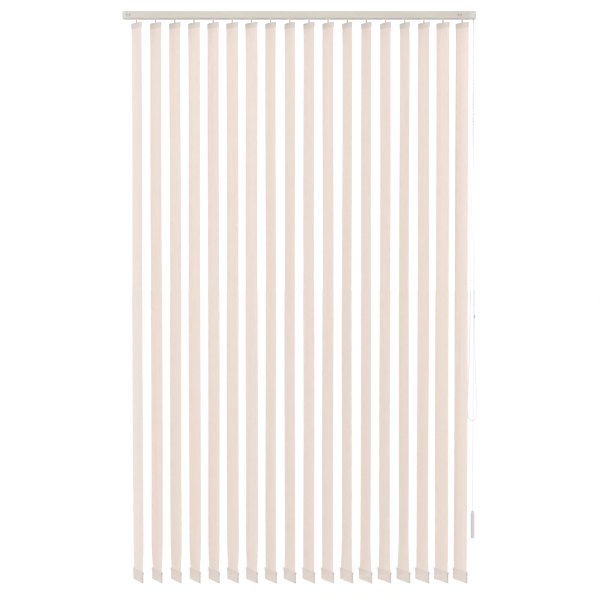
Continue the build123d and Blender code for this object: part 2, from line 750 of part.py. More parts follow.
def chain_connector():
    """The small split sleeve that joins the tilt chain's ends, on its rear strand."""
    lower, upper = [Vector(*p) for p in chain_route()[13:15]]
    height = rail_top - connector_drop
    share = (height - lower.Z) / (upper.Z - lower.Z)
    middle = lower + (upper - lower) * share
    place = Plane(origin=middle, z_dir=upper - lower)
    body = Cylinder(connector_radius, connector_length)
    body = fillet(body.edges(), connector_edge)
    return place * (body - Cylinder(chain_radius + running, connector_length + overrun))


def cord_run():
    """The traverse cord inside the rail: out along one strand and back along the other."""
    low = pulley_z
    out = Edge.make_line((pulley_x, strand_near, cord_z), (return_x, strand_near, cord_z))
    back = Edge.make_line((return_x, strand_far, cord_z), (pulley_x, strand_far, cord_z))
    turn = ThreePointArc(
        (return_x, strand_near, cord_z),
        (return_x - cord_gap / 2, strand_middle, cord_z),
        (return_x, strand_far, cord_z),
    )
    slant = pulley_radius * math.sqrt(0.5)
    bends = []
    for y in (strand_near, strand_far):
        bends.append(
            ThreePointArc(
                (cord_x, y, low), (pulley_x + slant, y, low + slant), (pulley_x, y, cord_z)
            )
        )
    path = Wire([bends[0].edge(), out, turn.edge(), back, bends[1].edge()])
    start = Plane(origin=(cord_x, strand_near, low), z_dir=(0, 0, 1))
    tube = sweep(start * Circle(cord_radius), path=path)
    whole = math.pi * cord_radius**2 * path.length
    print("cord run length", round(path.length, 1), "volume ratio", round(tube.volume / whole, 4))
    return tube


def cord_drop_route():
    """The two strands that hang from the pulleys to the pin in the tassel weight."""
    foot = tassel_pin_z - cord_gap / 2
    return [
        (cord_x, strand_near, pulley_z),
        (cord_x, strand_near, foot),
        (cord_x, strand_far, foot),
        (cord_x, strand_far, pulley_z),
    ]


def tassel_weight():
    """The long round weight that keeps the traverse cord taut, bored from its top."""
    foot = tassel_top - tassel_length
    outline = Polyline(
        (0, foot),
        (tassel_radius, foot),
        (tassel_radius, tassel_top - tassel_taper),
        (tassel_neck, tassel_top),
        (0, tassel_top),
        close=True,
    )
    body = revolve(Plane.XZ * make_face(outline), axis=Axis.Z)
    body = fillet(body.edges().filter_by(GeomType.CIRCLE), tassel_edge)
    bore_z = (tassel_pin_z - tassel_pin_well, tassel_top + overrun)
    body -= along_z(tassel_bore, 0, 0, bore_z)
    across = (-tassel_radius, tassel_radius)
    body -= along_x(tassel_pin_radius + running, across, 0, tassel_pin_z)
    return Pos(cord_x, strand_middle, 0) * body


def tassel_pin():
    """The pin across the tassel weight's bore."""
    reach = tassel_radius - tassel_pin_inset
    return along_x(tassel_pin_radius, (cord_x - reach, cord_x + reach), strand_middle, tassel_pin_z)


# ---- the whole blind ------------------------------------------------------------------
def main():
    """Write every node of the blind."""
    print("first carrier's travel", round(carrier_travel, 1))
    os.makedirs("parts", exist_ok=True)
    write("headrail", headrail())
    write("swivel_clip_left", swivel_clip(-clip_spacing / 2))
    write("swivel_clip_right", swivel_clip(clip_spacing / 2))
    write("idle_end_screws", *screws([left_end + s for s in idle_screws]))
    write("control_end_screws", *screws([right_end - s for s in control_screws]))
    write("control_housing", control_housing())
    write("idle_end_cap", idle_end_cap())
    write("tilt_rod", tilt_rod())
    write("rod_bush", rod_bush())
    write("chain_sprocket", chain_sprocket())
    write("cord_pulley_near", cord_pulley(strand_near))
    write("cord_pulley_far", cord_pulley(strand_far))
    write("pulley_pin", pulley_pin())
    write("return_pulley", return_pulley())
    write("return_pin", return_pin())
    for number in range(1, vane_count + 1):
        write(f"carrier_{number:02d}", *carrier(number))
        write(f"vane_{number:02d}", *vane(number))
    write("bottom_chain_front", *bottom_chain(-1))
    write("bottom_chain_rear", *bottom_chain(1))
    write("tilt_chain", cord_tube(chain_route(), chain_radius, "tilt chain"), chain_wrap())
    write("chain_connector", chain_connector())
    write("traverse_cord_run", cord_run())
    turn = cord_gap / 2 - turn_gap
    drop = cord_tube(cord_drop_route(), cord_radius, "traverse cord drop", [turn, turn])
    write("traverse_cord_drop", drop)
    write("tassel_weight", tassel_weight())
    write("tassel_pin", tassel_pin())


main()
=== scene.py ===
"""Looks of a vertical blind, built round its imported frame.

Lengths are in metres, in the frame's own axes: X runs along the headrail towards the control end, the
room is towards -Y, and Z is up. The origin lies on the ceiling, above the middle of the headrail.
"""

import json
import logging
import math
from collections.abc import Callable, Iterable
from dataclasses import dataclass
from enum import Enum

import bpy
import numpy as np
from mathutils import Matrix, Vector


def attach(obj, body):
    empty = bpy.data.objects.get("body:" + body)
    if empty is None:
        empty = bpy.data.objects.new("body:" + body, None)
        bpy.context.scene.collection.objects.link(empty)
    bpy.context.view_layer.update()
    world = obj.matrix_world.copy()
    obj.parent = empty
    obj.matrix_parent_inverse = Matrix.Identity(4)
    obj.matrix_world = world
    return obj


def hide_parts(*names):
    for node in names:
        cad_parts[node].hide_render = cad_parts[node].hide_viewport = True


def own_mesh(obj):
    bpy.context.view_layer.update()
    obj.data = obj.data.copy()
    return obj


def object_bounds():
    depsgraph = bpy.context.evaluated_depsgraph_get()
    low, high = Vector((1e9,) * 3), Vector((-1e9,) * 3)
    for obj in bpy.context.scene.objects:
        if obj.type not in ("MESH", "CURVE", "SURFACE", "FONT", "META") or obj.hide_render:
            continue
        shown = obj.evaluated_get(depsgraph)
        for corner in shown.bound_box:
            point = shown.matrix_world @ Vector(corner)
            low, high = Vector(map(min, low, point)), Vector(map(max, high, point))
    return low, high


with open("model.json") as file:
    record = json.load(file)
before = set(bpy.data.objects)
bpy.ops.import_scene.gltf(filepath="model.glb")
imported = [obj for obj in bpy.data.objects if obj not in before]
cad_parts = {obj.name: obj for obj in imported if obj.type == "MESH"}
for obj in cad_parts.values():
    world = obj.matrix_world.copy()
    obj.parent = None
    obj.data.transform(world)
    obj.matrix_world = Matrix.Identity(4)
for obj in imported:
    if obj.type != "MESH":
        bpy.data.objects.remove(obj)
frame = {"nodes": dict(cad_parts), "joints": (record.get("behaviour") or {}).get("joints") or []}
CAD_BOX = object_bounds()

LOG = logging.getLogger("vertical_blind")
MM = 0.001
NEAR = 0.01 * MM
MERGE_DISTANCE = 0.001 * MM
SHARP_EDGE = math.radians(40)
REST_ANGLE = math.radians(59)
WEAVE_MAP = "weave"
STRIP_ATTRIBUTE = "strip"

Point = tuple[float, float, float]
Colour = tuple[float, float, float]


class Slot(Enum):
    """The finishes that the blind's pieces take, by the record's slot names."""

    RAIL = "rail_metal"
    END = "end_plastic"
    WHITE = "white_plastic"
    STEEL = "steel"
    SCREW = "screw_steel"
    ALUMINIUM = "aluminium"
    FABRIC = "vane_fabric"
    HANGER = "hanger_plastic"
    WEIGHT = "weight_plastic"
    CORD = "white_cord"
    CHAIN = "chain_plastic"
    CONNECTOR = "connector_plastic"
    TASSEL = "tassel_plastic"


class Element(Enum):
    """What edit mode selects, in the order of its three buttons."""

    CORNER = "VERT"
    EDGE = "EDGE"
    FACE = "FACE"


# ---- node materials ---------------------------------------------------------------------------------


class Recipe:
    """One node material in the making, round a single Principled shader."""

    def __init__(self, name: str) -> None:
        """Starts an empty material.

        Args:
            name: the material's name.
        """
        self.material = bpy.data.materials.new(name)
        self.material.use_nodes = True
        self.nodes = self.material.node_tree.nodes
        self.links = self.material.node_tree.links
        self.shader = next(n for n in self.nodes if n.type == "BSDF_PRINCIPLED")

    def set(self, **values: float) -> None:
        """Sets the shader's own sockets, each named with underscores for spaces."""
        for name, value in values.items():
            self.shader.inputs[name.replace("_", " ")].default_value = value

    def feed(self, value: bpy.types.NodeSocket, socket: str) -> None:
        """Links a value to one of the shader's sockets."""
        self.links.new(value, self.shader.inputs[socket])

    def object_space(self, stretch: Point) -> bpy.types.NodeSocket:
        """Object coordinates, times a factor along each axis.

        Args:
            stretch: the factor along X, Y and Z, one over the pattern's size in metres.

        Returns:
            The socket with the scaled coordinates.
        """
        place = self.nodes.new("ShaderNodeTexCoord")
        mapping = self.nodes.new("ShaderNodeMapping")
        mapping.inputs["Scale"].default_value = stretch
        self.links.new(place.outputs["Object"], mapping.inputs["Vector"])
        return mapping.outputs["Vector"]

    def parts(self, vector: bpy.types.NodeSocket) -> list[bpy.types.NodeSocket]:
        """The three parts of a vector, as sockets."""
        split = self.nodes.new("ShaderNodeSeparateXYZ")
        self.links.new(vector, split.inputs[0])
        return list(split.outputs)

    def vector(self, *values: bpy.types.NodeSocket) -> bpy.types.NodeSocket:
        """A vector from up to three sockets."""
        made = self.nodes.new("ShaderNodeCombineXYZ")
        for value, socket in zip(values, made.inputs):
            self.links.new(value, socket)
        return made.outputs[0]

    def noise(self, where: bpy.types.NodeSocket, detail: float = 2.0) -> bpy.types.NodeSocket:
        """Smooth noise, about one lump to each unit of its coordinates.

        Args:
            where: the coordinates.
            detail: how many finer layers it has.

        Returns:
            The socket with a value from 0 to 1.
        """
        made = self.nodes.new("ShaderNodeTexNoise")
        made.inputs["Scale"].default_value = 1.0
        made.inputs["Detail"].default_value = detail
        self.links.new(where, made.inputs["Vector"])
        return made.outputs[0]

    def maths(
        self, operation: str, first: bpy.types.NodeSocket, second: bpy.types.NodeSocket | float = 0.0
    ) -> bpy.types.NodeSocket:
        """One sum of two values that vary over the surface.

        Args:
            operation: Blender's name for the sum.
            first: its first value.
            second: its second value, a socket or a number.

        Returns:
            The socket with the result.
        """
        made = self.nodes.new("ShaderNodeMath")
        made.operation = operation
        self.links.new(first, made.inputs[0])
        if isinstance(second, bpy.types.NodeSocket):
            self.links.new(second, made.inputs[1])
        else:
            made.inputs[1].default_value = second
        return made.outputs[0]

    def span(
        self, value: bpy.types.NodeSocket, start: float, end: float, low: float = 0.0, high: float = 1.0
    ) -> bpy.types.NodeSocket:
        """Maps start..end to low..high smoothly, and holds it beyond.

        Args:
            value: the value to map.
            start: where the result is low.
            end: where the result is high.
            low: the result at start.
            high: the result at end.

        Returns:
            The socket with the mapped value.
        """
        made = self.nodes.new("ShaderNodeMapRange")
        made.interpolation_type = "SMOOTHSTEP"
        for socket, number in zip(made.inputs[1:5], (start, end, low, high)):
            socket.default_value = number
        self.links.new(value, made.inputs[0])
        return made.outputs[0]

    def spread(self, noise: bpy.types.NodeSocket) -> bpy.types.NodeSocket:
        """Spreads the middle of a noise over 0 to 1."""
        return self.span(noise, 0.3, 0.7)

    def mix(
        self,
        share: bpy.types.NodeSocket,
        first: bpy.types.NodeSocket | Colour,
        second: bpy.types.NodeSocket | Colour,
    ) -> bpy.types.NodeSocket:
        """A colour between two others.

        Args:
            share: how much of the second colour there is.
            first: the colour at 0.
            second: the colour at 1.

        Returns:
            The socket with the colour.
        """
        made = self.nodes.new("ShaderNodeMix")
        made.data_type = "RGBA"
        colour_sockets = [s for s in made.inputs if s.type == "RGBA"]
        self.links.new(share, made.inputs[0])
        for value, socket in zip((first, second), colour_sockets):
            if isinstance(value, bpy.types.NodeSocket):
                self.links.new(value, socket)
            else:
                socket.default_value = (*value, 1.0)
        return next(s for s in made.outputs if s.type == "RGBA")

    def bump(self, height: bpy.types.NodeSocket, strength: float, depth: float) -> None:
        """Raises the surface by a height pattern.

        Args:
            height: the pattern, about 0 to 1.
            strength: how much of it shows.
            depth: the height of 1, in metres.
        """
        made = self.nodes.new("ShaderNodeBump")
        made.inputs["Strength"].default_value = strength
        made.inputs["Distance"].default_value = depth
        self.links.new(height, made.inputs["Height"])
        self.feed(made.outputs[0], "Normal")


@dataclass(frozen=True)
class MouldedPlastic:
    """An injection-moulded part: a fine spark grain, with slow flow marks in its colour."""

    slot: Slot
    colour: Colour
    flow_colour: Colour
    roughness: float = 0.45
    grain: float = 0.5 * MM
    flow: float = 9 * MM
    grain_depth: float = 0.03 * MM
    grain_strength: float = 0.35

    def material(self) -> bpy.types.Material:
        """Builds the finish."""
        recipe = Recipe(self.slot.value)
        flow = recipe.noise(recipe.object_space((1 / self.flow,) * 3), detail=3.0)
        grain = recipe.noise(recipe.object_space((1 / self.grain,) * 3))
        recipe.feed(recipe.mix(recipe.spread(flow), self.colour, self.flow_colour), "Base Color")
        low, high = self.roughness - 0.06, self.roughness + 0.08
        recipe.feed(recipe.span(grain, 0.3, 0.7, low, high), "Roughness")
        recipe.bump(grain, self.grain_strength, self.grain_depth)
        return recipe.material


@dataclass(frozen=True)
class PowderCoat:
    """A baked powder coat over an extrusion: orange peel, and faint lines along the length."""

    slot: Slot
    colour: Colour
    cloud_colour: Colour
    peel: float = 1.4 * MM
    peel_depth: float = 0.06 * MM
    line_pitch: float = 1.8 * MM
    line_length: float = 0.6
    line_share: float = 0.6
    cloud_length: float = 0.16
    cloud_width: float = 0.02
    gloss: tuple[float, float] = (0.36, 0.48)
    strength: float = 0.4

    def material(self) -> bpy.types.Material:
        """Builds the finish."""
        recipe = Recipe(self.slot.value)
        cloud_scale = (1 / self.cloud_length, 1 / self.cloud_width, 1 / self.cloud_width)
        cloud = recipe.noise(recipe.object_space(cloud_scale), detail=4.0)
        peel = recipe.noise(recipe.object_space((1 / self.peel,) * 3))
        line_scale = (1 / self.line_length, 1 / self.line_pitch, 1 / self.line_pitch)
        lines = recipe.noise(recipe.object_space(line_scale), detail=1.0)
        recipe.feed(recipe.mix(recipe.spread(cloud), self.colour, self.cloud_colour), "Base Color")
        recipe.feed(recipe.span(peel, 0.2, 0.8, *self.gloss), "Roughness")
        relief = recipe.maths("ADD", peel, recipe.maths("MULTIPLY", lines, self.line_share))
        recipe.bump(relief, self.strength, self.peel_depth)
        return recipe.material


@dataclass(frozen=True)
class DrawnMetal:
    """Bare metal with the fine lines of drawing or turning, and slight clouding of its plating."""

    slot: Slot
    colour: Colour
    cloud_colour: Colour
    roughness: float = 0.32
    line_pitch: float = 0.35 * MM
    line_length: float = 30 * MM
    line_depth: float = 0.02 * MM
    line_strength: float = 0.2
    cloud: float = 6 * MM

    def material(self) -> bpy.types.Material:
        """Builds the finish."""
        recipe = Recipe(self.slot.value)
        line_scale = (1 / self.line_length, 1 / self.line_pitch, 1 / self.line_pitch)
        lines = recipe.noise(recipe.object_space(line_scale), detail=1.0)
        cloud = recipe.noise(recipe.object_space((1 / self.cloud,) * 3), detail=3.0)
        recipe.feed(recipe.mix(recipe.spread(cloud), self.colour, self.cloud_colour), "Base Color")
        low, high = self.roughness - 0.1, self.roughness + 0.12
        recipe.feed(recipe.span(lines, 0.25, 0.75, low, high), "Roughness")
        recipe.bump(lines, self.line_strength, self.line_depth)
        recipe.set(Metallic=1.0)
        return recipe.material


@dataclass(frozen=True)
class BraidedCord:
    """A tightly braided polyester cord: crossing diagonal plaits, a little fuzzy, with painted shade in
    the grooves between them.
    """

    slot: Slot
    colour: Colour
    # the painted shade in the grooves between the plaits
    groove_shade_colour: Colour
    plait: float = 1.1 * MM
    plait_depth: float = 0.1 * MM
    plait_strength: float = 0.3
    fuzz: float = 0.3 * MM
    gloss: tuple[float, float] = (0.62, 0.8)
    sheen: float = 0.15

    def material(self) -> bpy.types.Material:
        """Builds the finish."""
        recipe = Recipe(self.slot.value)
        turn = 2 * math.pi / self.plait
        x, y, z = recipe.parts(recipe.object_space((turn, turn, turn)))
        across = recipe.maths("ADD", x, y)
        one = recipe.maths("SINE", recipe.maths("ADD", z, across))
        other = recipe.maths("SINE", recipe.maths("SUBTRACT", z, across))
        plaits = recipe.maths("MULTIPLY", one, other)
        fuzz = recipe.noise(recipe.object_space((1 / self.fuzz,) * 3))
        # Painted shade: the grooves between the plaits are darker than the raised plaits.
        raised = recipe.span(plaits, -0.9, 0.3)
        recipe.feed(recipe.mix(raised, self.groove_shade_colour, self.colour), "Base Color")
        recipe.feed(recipe.span(fuzz, 0.2, 0.8, *self.gloss), "Roughness")
        recipe.bump(recipe.maths("ADD", plaits, fuzz), self.plait_strength, self.plait_depth)
        recipe.set(Sheen_Weight=self.sheen)
        return recipe.material


@dataclass(frozen=True)
class PlainWeave:
    """The vanes' cloth: plain weave with slubs, faint stripes, welded pockets and weld lines, with painted
    shade on the pockets, along the long edges and between the threads.

    Its map holds metres: across the vane from its middle, and height. The strip attribute tells one
    vane's cut of the cloth from another's.
    """

    slot: Slot
    cream: Colour
    rose: Colour
    # the slubs' colour, also the painted shade between the threads
    slub_and_gap_shade_colour: Colour
    # the painted shade on the two pockets
    pocket_shade_colour: Colour
    # painted shade along the long edges; the same colour marks the weld lines
    edge_shade_and_weld_colour: Colour
    half_width: float
    top_weld: float
    bottom_weld: float
    thread: float = 0.9 * MM
    stripe_width: float = 7 * MM
    stripe_length: float = 0.9
    slub_width: float = 22 * MM
    slub_height: float = 1.3 * MM
    # how far the painted edge shade reaches in from each long edge
    edge_shade_band: float = 3.2 * MM
    weld_band: float = 1.3 * MM
    cut_step: float = 3.7
    slub_share: float = 0.5
    # how much painted shade falls between the threads
    gap_shade_share: float = 0.22
    overlay_share: float = 0.6
    slub_relief: float = 1.2
    weld_relief: float = 1.5
    strength: float = 0.3
    depth: float = 0.12 * MM
    gloss: tuple[float, float] = (0.78, 0.9)
    sheen: float = 0.12
    shine: float = 0.3

    def near(self, recipe: Recipe, height: bpy.types.NodeSocket, weld: float) -> bpy.types.NodeSocket:
        """How near a point is to a weld line.

        Args:
            recipe: the material in the making.
            height: the height socket.
            weld: the height of the weld.

        Returns:
            A socket with 1 on the weld and 0 away from it.
        """
        gap = recipe.maths("ABSOLUTE", recipe.maths("SUBTRACT", height, weld))
        return recipe.span(gap, 0.3 * self.weld_band, self.weld_band, 1.0, 0.0)

    def material(self) -> bpy.types.Material:
        """Builds the finish."""
        recipe = Recipe(self.slot.value)
        cloth = recipe.nodes.new("ShaderNodeUVMap")
        cloth.uv_map = WEAVE_MAP
        strip = recipe.nodes.new("ShaderNodeAttribute")
        strip.attribute_name = STRIP_ATTRIBUTE
        across, height, _ = recipe.parts(cloth.outputs[0])
        cut = recipe.maths("MULTIPLY", strip.outputs["Fac"], self.cut_step)

        turn = math.pi / self.thread
        warp = recipe.maths("SINE", recipe.maths("MULTIPLY", across, turn))
        weft = recipe.maths("SINE", recipe.maths("MULTIPLY", height, turn))
        threads = recipe.maths("MULTIPLY", warp, weft)

        stripe_place = recipe.vector(
            recipe.maths("MULTIPLY", across, 1 / self.stripe_width),
            recipe.maths("MULTIPLY", height, 1 / self.stripe_length),
            cut,
        )
        stripes = recipe.noise(stripe_place, detail=3.0)
        slub_place = recipe.vector(
            recipe.maths("MULTIPLY", across, 1 / self.slub_width),
            recipe.maths("MULTIPLY", height, 1 / self.slub_height),
            cut,
        )
        slubs = recipe.noise(slub_place, detail=2.0)

        colour = recipe.mix(recipe.span(stripes, 0.32, 0.68), self.cream, self.rose)
        thick_threads = recipe.maths("MULTIPLY", recipe.span(slubs, 0.5, 0.78), self.slub_share)
        colour = recipe.mix(thick_threads, colour, self.slub_and_gap_shade_colour)
        # Painted shade in the low places between the threads, in the slubs' colour.
        thread_gap_shade = recipe.span(threads, -1.0, 1.0, self.gap_shade_share, 0.0)
        colour = recipe.mix(thread_gap_shade, colour, self.slub_and_gap_shade_colour)

        # Painted shade: the cloth is darker on both pockets, above the top weld and below the bottom weld.
        doubled = recipe.maths(
            "ADD",
            recipe.span(height, self.top_weld - MM, self.top_weld + MM),
            recipe.span(height, self.bottom_weld - MM, self.bottom_weld + MM, 1.0, 0.0),
        )
        # Painted shade: both long edges of the cloth darker and greyer.
        rim = recipe.maths("ABSOLUTE", across)
        edge = recipe.span(rim, self.half_width - self.edge_shade_band, self.half_width - 0.4 * self.edge_shade_band)
        welds = recipe.maths(
            "ADD", self.near(recipe, height, self.top_weld), self.near(recipe, height, self.bottom_weld)
        )
        overlays = ((doubled, self.pocket_shade_colour), (edge, self.edge_shade_and_weld_colour), (welds, self.edge_shade_and_weld_colour))
        for where, tint in overlays:
            colour = recipe.mix(recipe.maths("MULTIPLY", where, self.overlay_share), colour, tint)
        recipe.feed(colour, "Base Color")

        relief = recipe.maths("ADD", threads, recipe.maths("MULTIPLY", slubs, self.slub_relief))
        sunk = recipe.maths("MULTIPLY", welds, self.weld_relief)
        recipe.bump(recipe.maths("SUBTRACT", relief, sunk), self.strength, self.depth)
        recipe.feed(recipe.span(slubs, 0.2, 0.8, *self.gloss), "Roughness")
        recipe.set(Sheen_Weight=self.sheen, Specular_IOR_Level=self.shine)
        return recipe.material


# ---- the bench --------------------------------------------------------------------------------------


def take(piece: bpy.types.Object) -> None:
    """Makes a piece the only one selected, and the active one."""
    bpy.ops.object.select_all(action="DESELECT")
    piece.select_set(True)
    bpy.context.view_layer.objects.active = piece


def just_added(name: str) -> bpy.types.Object:
    """Names the primitive that was just added, and gives it its place in its mesh.

    Args:
        name: the piece's name.

    Returns:
        The piece.
    """
    piece = bpy.context.active_object
    piece.name = name
    piece.data.name = name
    take(piece)
    bpy.ops.object.transform_apply(location=True, rotation=True, scale=True)
    return piece


def pick(piece: bpy.types.Object, element: Element, rule: Callable[[Vector], bool]) -> None:
    """Enters edit mode on a piece with what a rule chooses selected.

    Args:
        piece: the mesh object.
        element: whether corners, edges or faces are chosen.
        rule: true for the place, or the middle, of a chosen one.
    """
    leave()
    take(piece)
    mesh = piece.data
    for group in (mesh.vertices, mesh.edges, mesh.polygons):
        group.foreach_set("select", [False] * len(group))
    if element is Element.CORNER:
        for corner in mesh.vertices:
            corner.select = rule(corner.co)
    elif element is Element.EDGE:
        for edge in mesh.edges:
            first, second = (mesh.vertices[i].co for i in edge.vertices)
            edge.select = rule((first + second) / 2)
    else:
        for face in mesh.polygons:
            face.select = rule(face.center)
    bpy.context.tool_settings.mesh_select_mode = [element is kind for kind in Element]
    bpy.ops.object.mode_set(mode="EDIT")


def leave() -> None:
    """Leaves edit mode, if a piece is in it."""
    active = bpy.context.view_layer.objects.active
    if active is not None and active.mode != "OBJECT":
        bpy.ops.object.mode_set(mode="OBJECT")


def push(move: Point) -> None:
    """Extrudes what is selected by a move."""
    bpy.ops.mesh.extrude_region_move(TRANSFORM_OT_translate={"value": move})


def face_outwards(piece: bpy.types.Object) -> None:
    """Merges a closed piece's doubled points and turns all its faces outwards.

    Args:
        piece: the mesh object.
    """
    pick(piece, Element.CORNER, lambda place: True)
    bpy.ops.mesh.remove_doubles(threshold=MERGE_DISTANCE)
    bpy.ops.mesh.normals_make_consistent(inside=False)
    leave()


def ease_edges(piece: bpy.types.Object, width: float, segments: int = 2) -> None:
    """Rounds a piece's sharp edges by a small bevel, applied.

    Args:
        piece: the mesh object.
        width: the bevel's width.
        segments: how many faces go round it.
    """
    take(piece)
    bevel = piece.modifiers.new("eased edges", "BEVEL")
    bevel.width = width
    bevel.segments = segments
    bevel.limit_method = "ANGLE"
    bevel.angle_limit = SHARP_EDGE
    bpy.ops.object.modifier_apply(modifier=bevel.name)


def smooth(piece: bpy.types.Object, degrees: float = 35.0) -> None:
    """Shades a piece smooth, apart from its sharper edges."""
    take(piece)
    bpy.ops.object.shade_smooth_by_angle(angle=math.radians(degrees))


def join(name: str, parts: list[bpy.types.Object]) -> bpy.types.Object:
    """Joins parts into the first of them.

    Args:
        name: the joined piece's name.
        parts: the pieces to join.

    Returns:
        The joined piece.
    """
    take(parts[0])
    for part in parts[1:]:
        part.select_set(True)
    bpy.ops.object.join()
    parts[0].name = name
    return parts[0]


def copy_of(piece: bpy.types.Object, name: str) -> bpy.types.Object:
    """A copy of a piece, with its own mesh and no parent.

    Args:
        piece: what is copied.
        name: the copy's name.

    Returns:
        The copy.
    """
    made = bpy.data.objects.new(name, piece.data.copy())
    bpy.context.scene.collection.objects.link(made)
    return made


def discard(pieces: Iterable[bpy.types.Object]) -> None:
    """Removes pieces that were only made to be copied."""
    for piece in list(pieces):
        bpy.data.objects.remove(piece)


def box_between(name: str, low: Point, high: Point) -> bpy.types.Object:
    """A box with its place in its mesh.

    Args:
        name: its name.
        low: its lowest corner.
        high: its highest corner.

    Returns:
        The box.
    """
    middle = [(a + b) / 2 for a, b in zip(low, high)]
    size = [b - a for a, b in zip(low, high)]
    bpy.ops.mesh.primitive_cube_add(size=1, location=middle, scale=size)
    return just_added(name)


def turned(name: str, outline: list[tuple[float, float]], sides: int) -> bpy.types.Object:
    """A turned piece on the Z axis, extruded ring by ring from its foot.

    Args:
        name: its name.
        outline: the radius and height of each ring, from the foot up.
        sides: how many sides each ring has.

    Returns:
        The closed piece.
    """
    radius, height = outline[0]
    bpy.ops.mesh.primitive_circle_add(
        vertices=sides, radius=radius, fill_type="NGON", location=(0, 0, height)
    )
    piece = just_added(name)
    pick(piece, Element.FACE, lambda place: True)
    for next_radius, next_height in outline[1:]:
        push((0, 0, next_height - height))
        share = next_radius / radius
        bpy.ops.transform.resize(value=(share, share, 1), center_override=(0, 0, next_height))
        radius, height = next_radius, next_height
    face_outwards(piece)
    return piece


def arranged(name: str, pattern: bpy.types.Object, places: list[Matrix]) -> bpy.types.Object:
    """Copies of one small pattern mesh, each at its own place, joined as one piece.

    Args:
        name: the piece's name.
        pattern: the mesh that repeats, which is then discarded.
        places: where each copy stands.

    Returns:
        The joined piece.
    """
    shape = pattern.data
    corners = np.array([v.co for v in shape.vertices])
    faces = [list(p.vertices) for p in shape.polygons]
    all_corners, all_faces = [], []
    for number, place in enumerate(places):
        turn, shift = np.array(place.to_3x3()), np.array(place.translation)
        all_corners.append(corners @ turn.T + shift)
        first = number * len(corners)
        all_faces.extend([first + i for i in face] for face in faces)
    mesh = bpy.data.meshes.new(name)
    mesh.from_pydata(np.concatenate(all_corners).tolist(), [], all_faces)
    made = bpy.data.objects.new(name, mesh)
    bpy.context.scene.collection.objects.link(made)
    discard([pattern])
    return made


def finish_piece(
    piece: bpy.types.Object, body: str, slot: Slot, finishes: dict[Slot, bpy.types.Material], *nodes: str
) -> None:
    """Dresses a piece, and ties it to its body and to the CAD nodes that it stands for.

    Args:
        piece: the piece, in its place.
        body: the body that it moves with.
        slot: its finish.
        finishes: every finish, by slot.
        nodes: the CAD nodes that it replaces.
    """
    piece.data.materials.clear()
    piece.data.materials.append(finishes[slot])
    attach(piece, body)
    if nodes:
        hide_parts(*nodes)


# ---- routes -----------------------------------------------------------------------------------------


def smooth_line(name: str, route: list[Point], radius: float = 0.0) -> bpy.types.Object:
    """A smooth NURBS curve with a route's points as its control points.

    Args:
        name: its name.
        route: the points.
        radius: of the round cord along it, or 0 for a bare line.

    Returns:
        The curve object.
    """
    curve = bpy.data.curves.new(name, "CURVE")
    curve.dimensions = "3D"
    curve.resolution_u = 16
    spline = curve.splines.new("NURBS")
    spline.points.add(len(route) - 1)
    for point, place in zip(spline.points, route):
        point.co = (*place, 1.0)
    spline.order_u = 3
    spline.use_endpoint_u = True
    curve.bevel_depth = radius
    curve.bevel_resolution = 2
    curve.use_fill_caps = True
    made = bpy.data.objects.new(name, curve)
    bpy.context.scene.collection.objects.link(made)
    return made


def points_along(route: list[Point], pitch: float) -> np.ndarray:
    """Evenly spaced points on a route's smooth line.

    Args:
        route: the line's control points.
        pitch: about how far apart the points are.

    Returns:
        The points, one to a row.
    """
    line = smooth_line("bare_line", route)
    mesh = bpy.data.meshes.new_from_object(line)
    points = np.array([v.co for v in mesh.vertices])
    bpy.data.objects.remove(line)
    steps = np.linalg.norm(np.diff(points, axis=0), axis=1)
    distance = np.concatenate([[0.0], np.cumsum(steps)])
    count = max(2, round(distance[-1] / pitch) + 1)
    wanted = np.linspace(0.0, distance[-1], count)
    return np.stack([np.interp(wanted, distance, points[:, axis]) for axis in range(3)], axis=1)


def moved(place: Iterable[float]) -> Matrix:
    """The matrix of a plain move."""
    return Matrix.Translation(Vector(place))


# ---- vanes ------------------------------------------------------------------------------------------


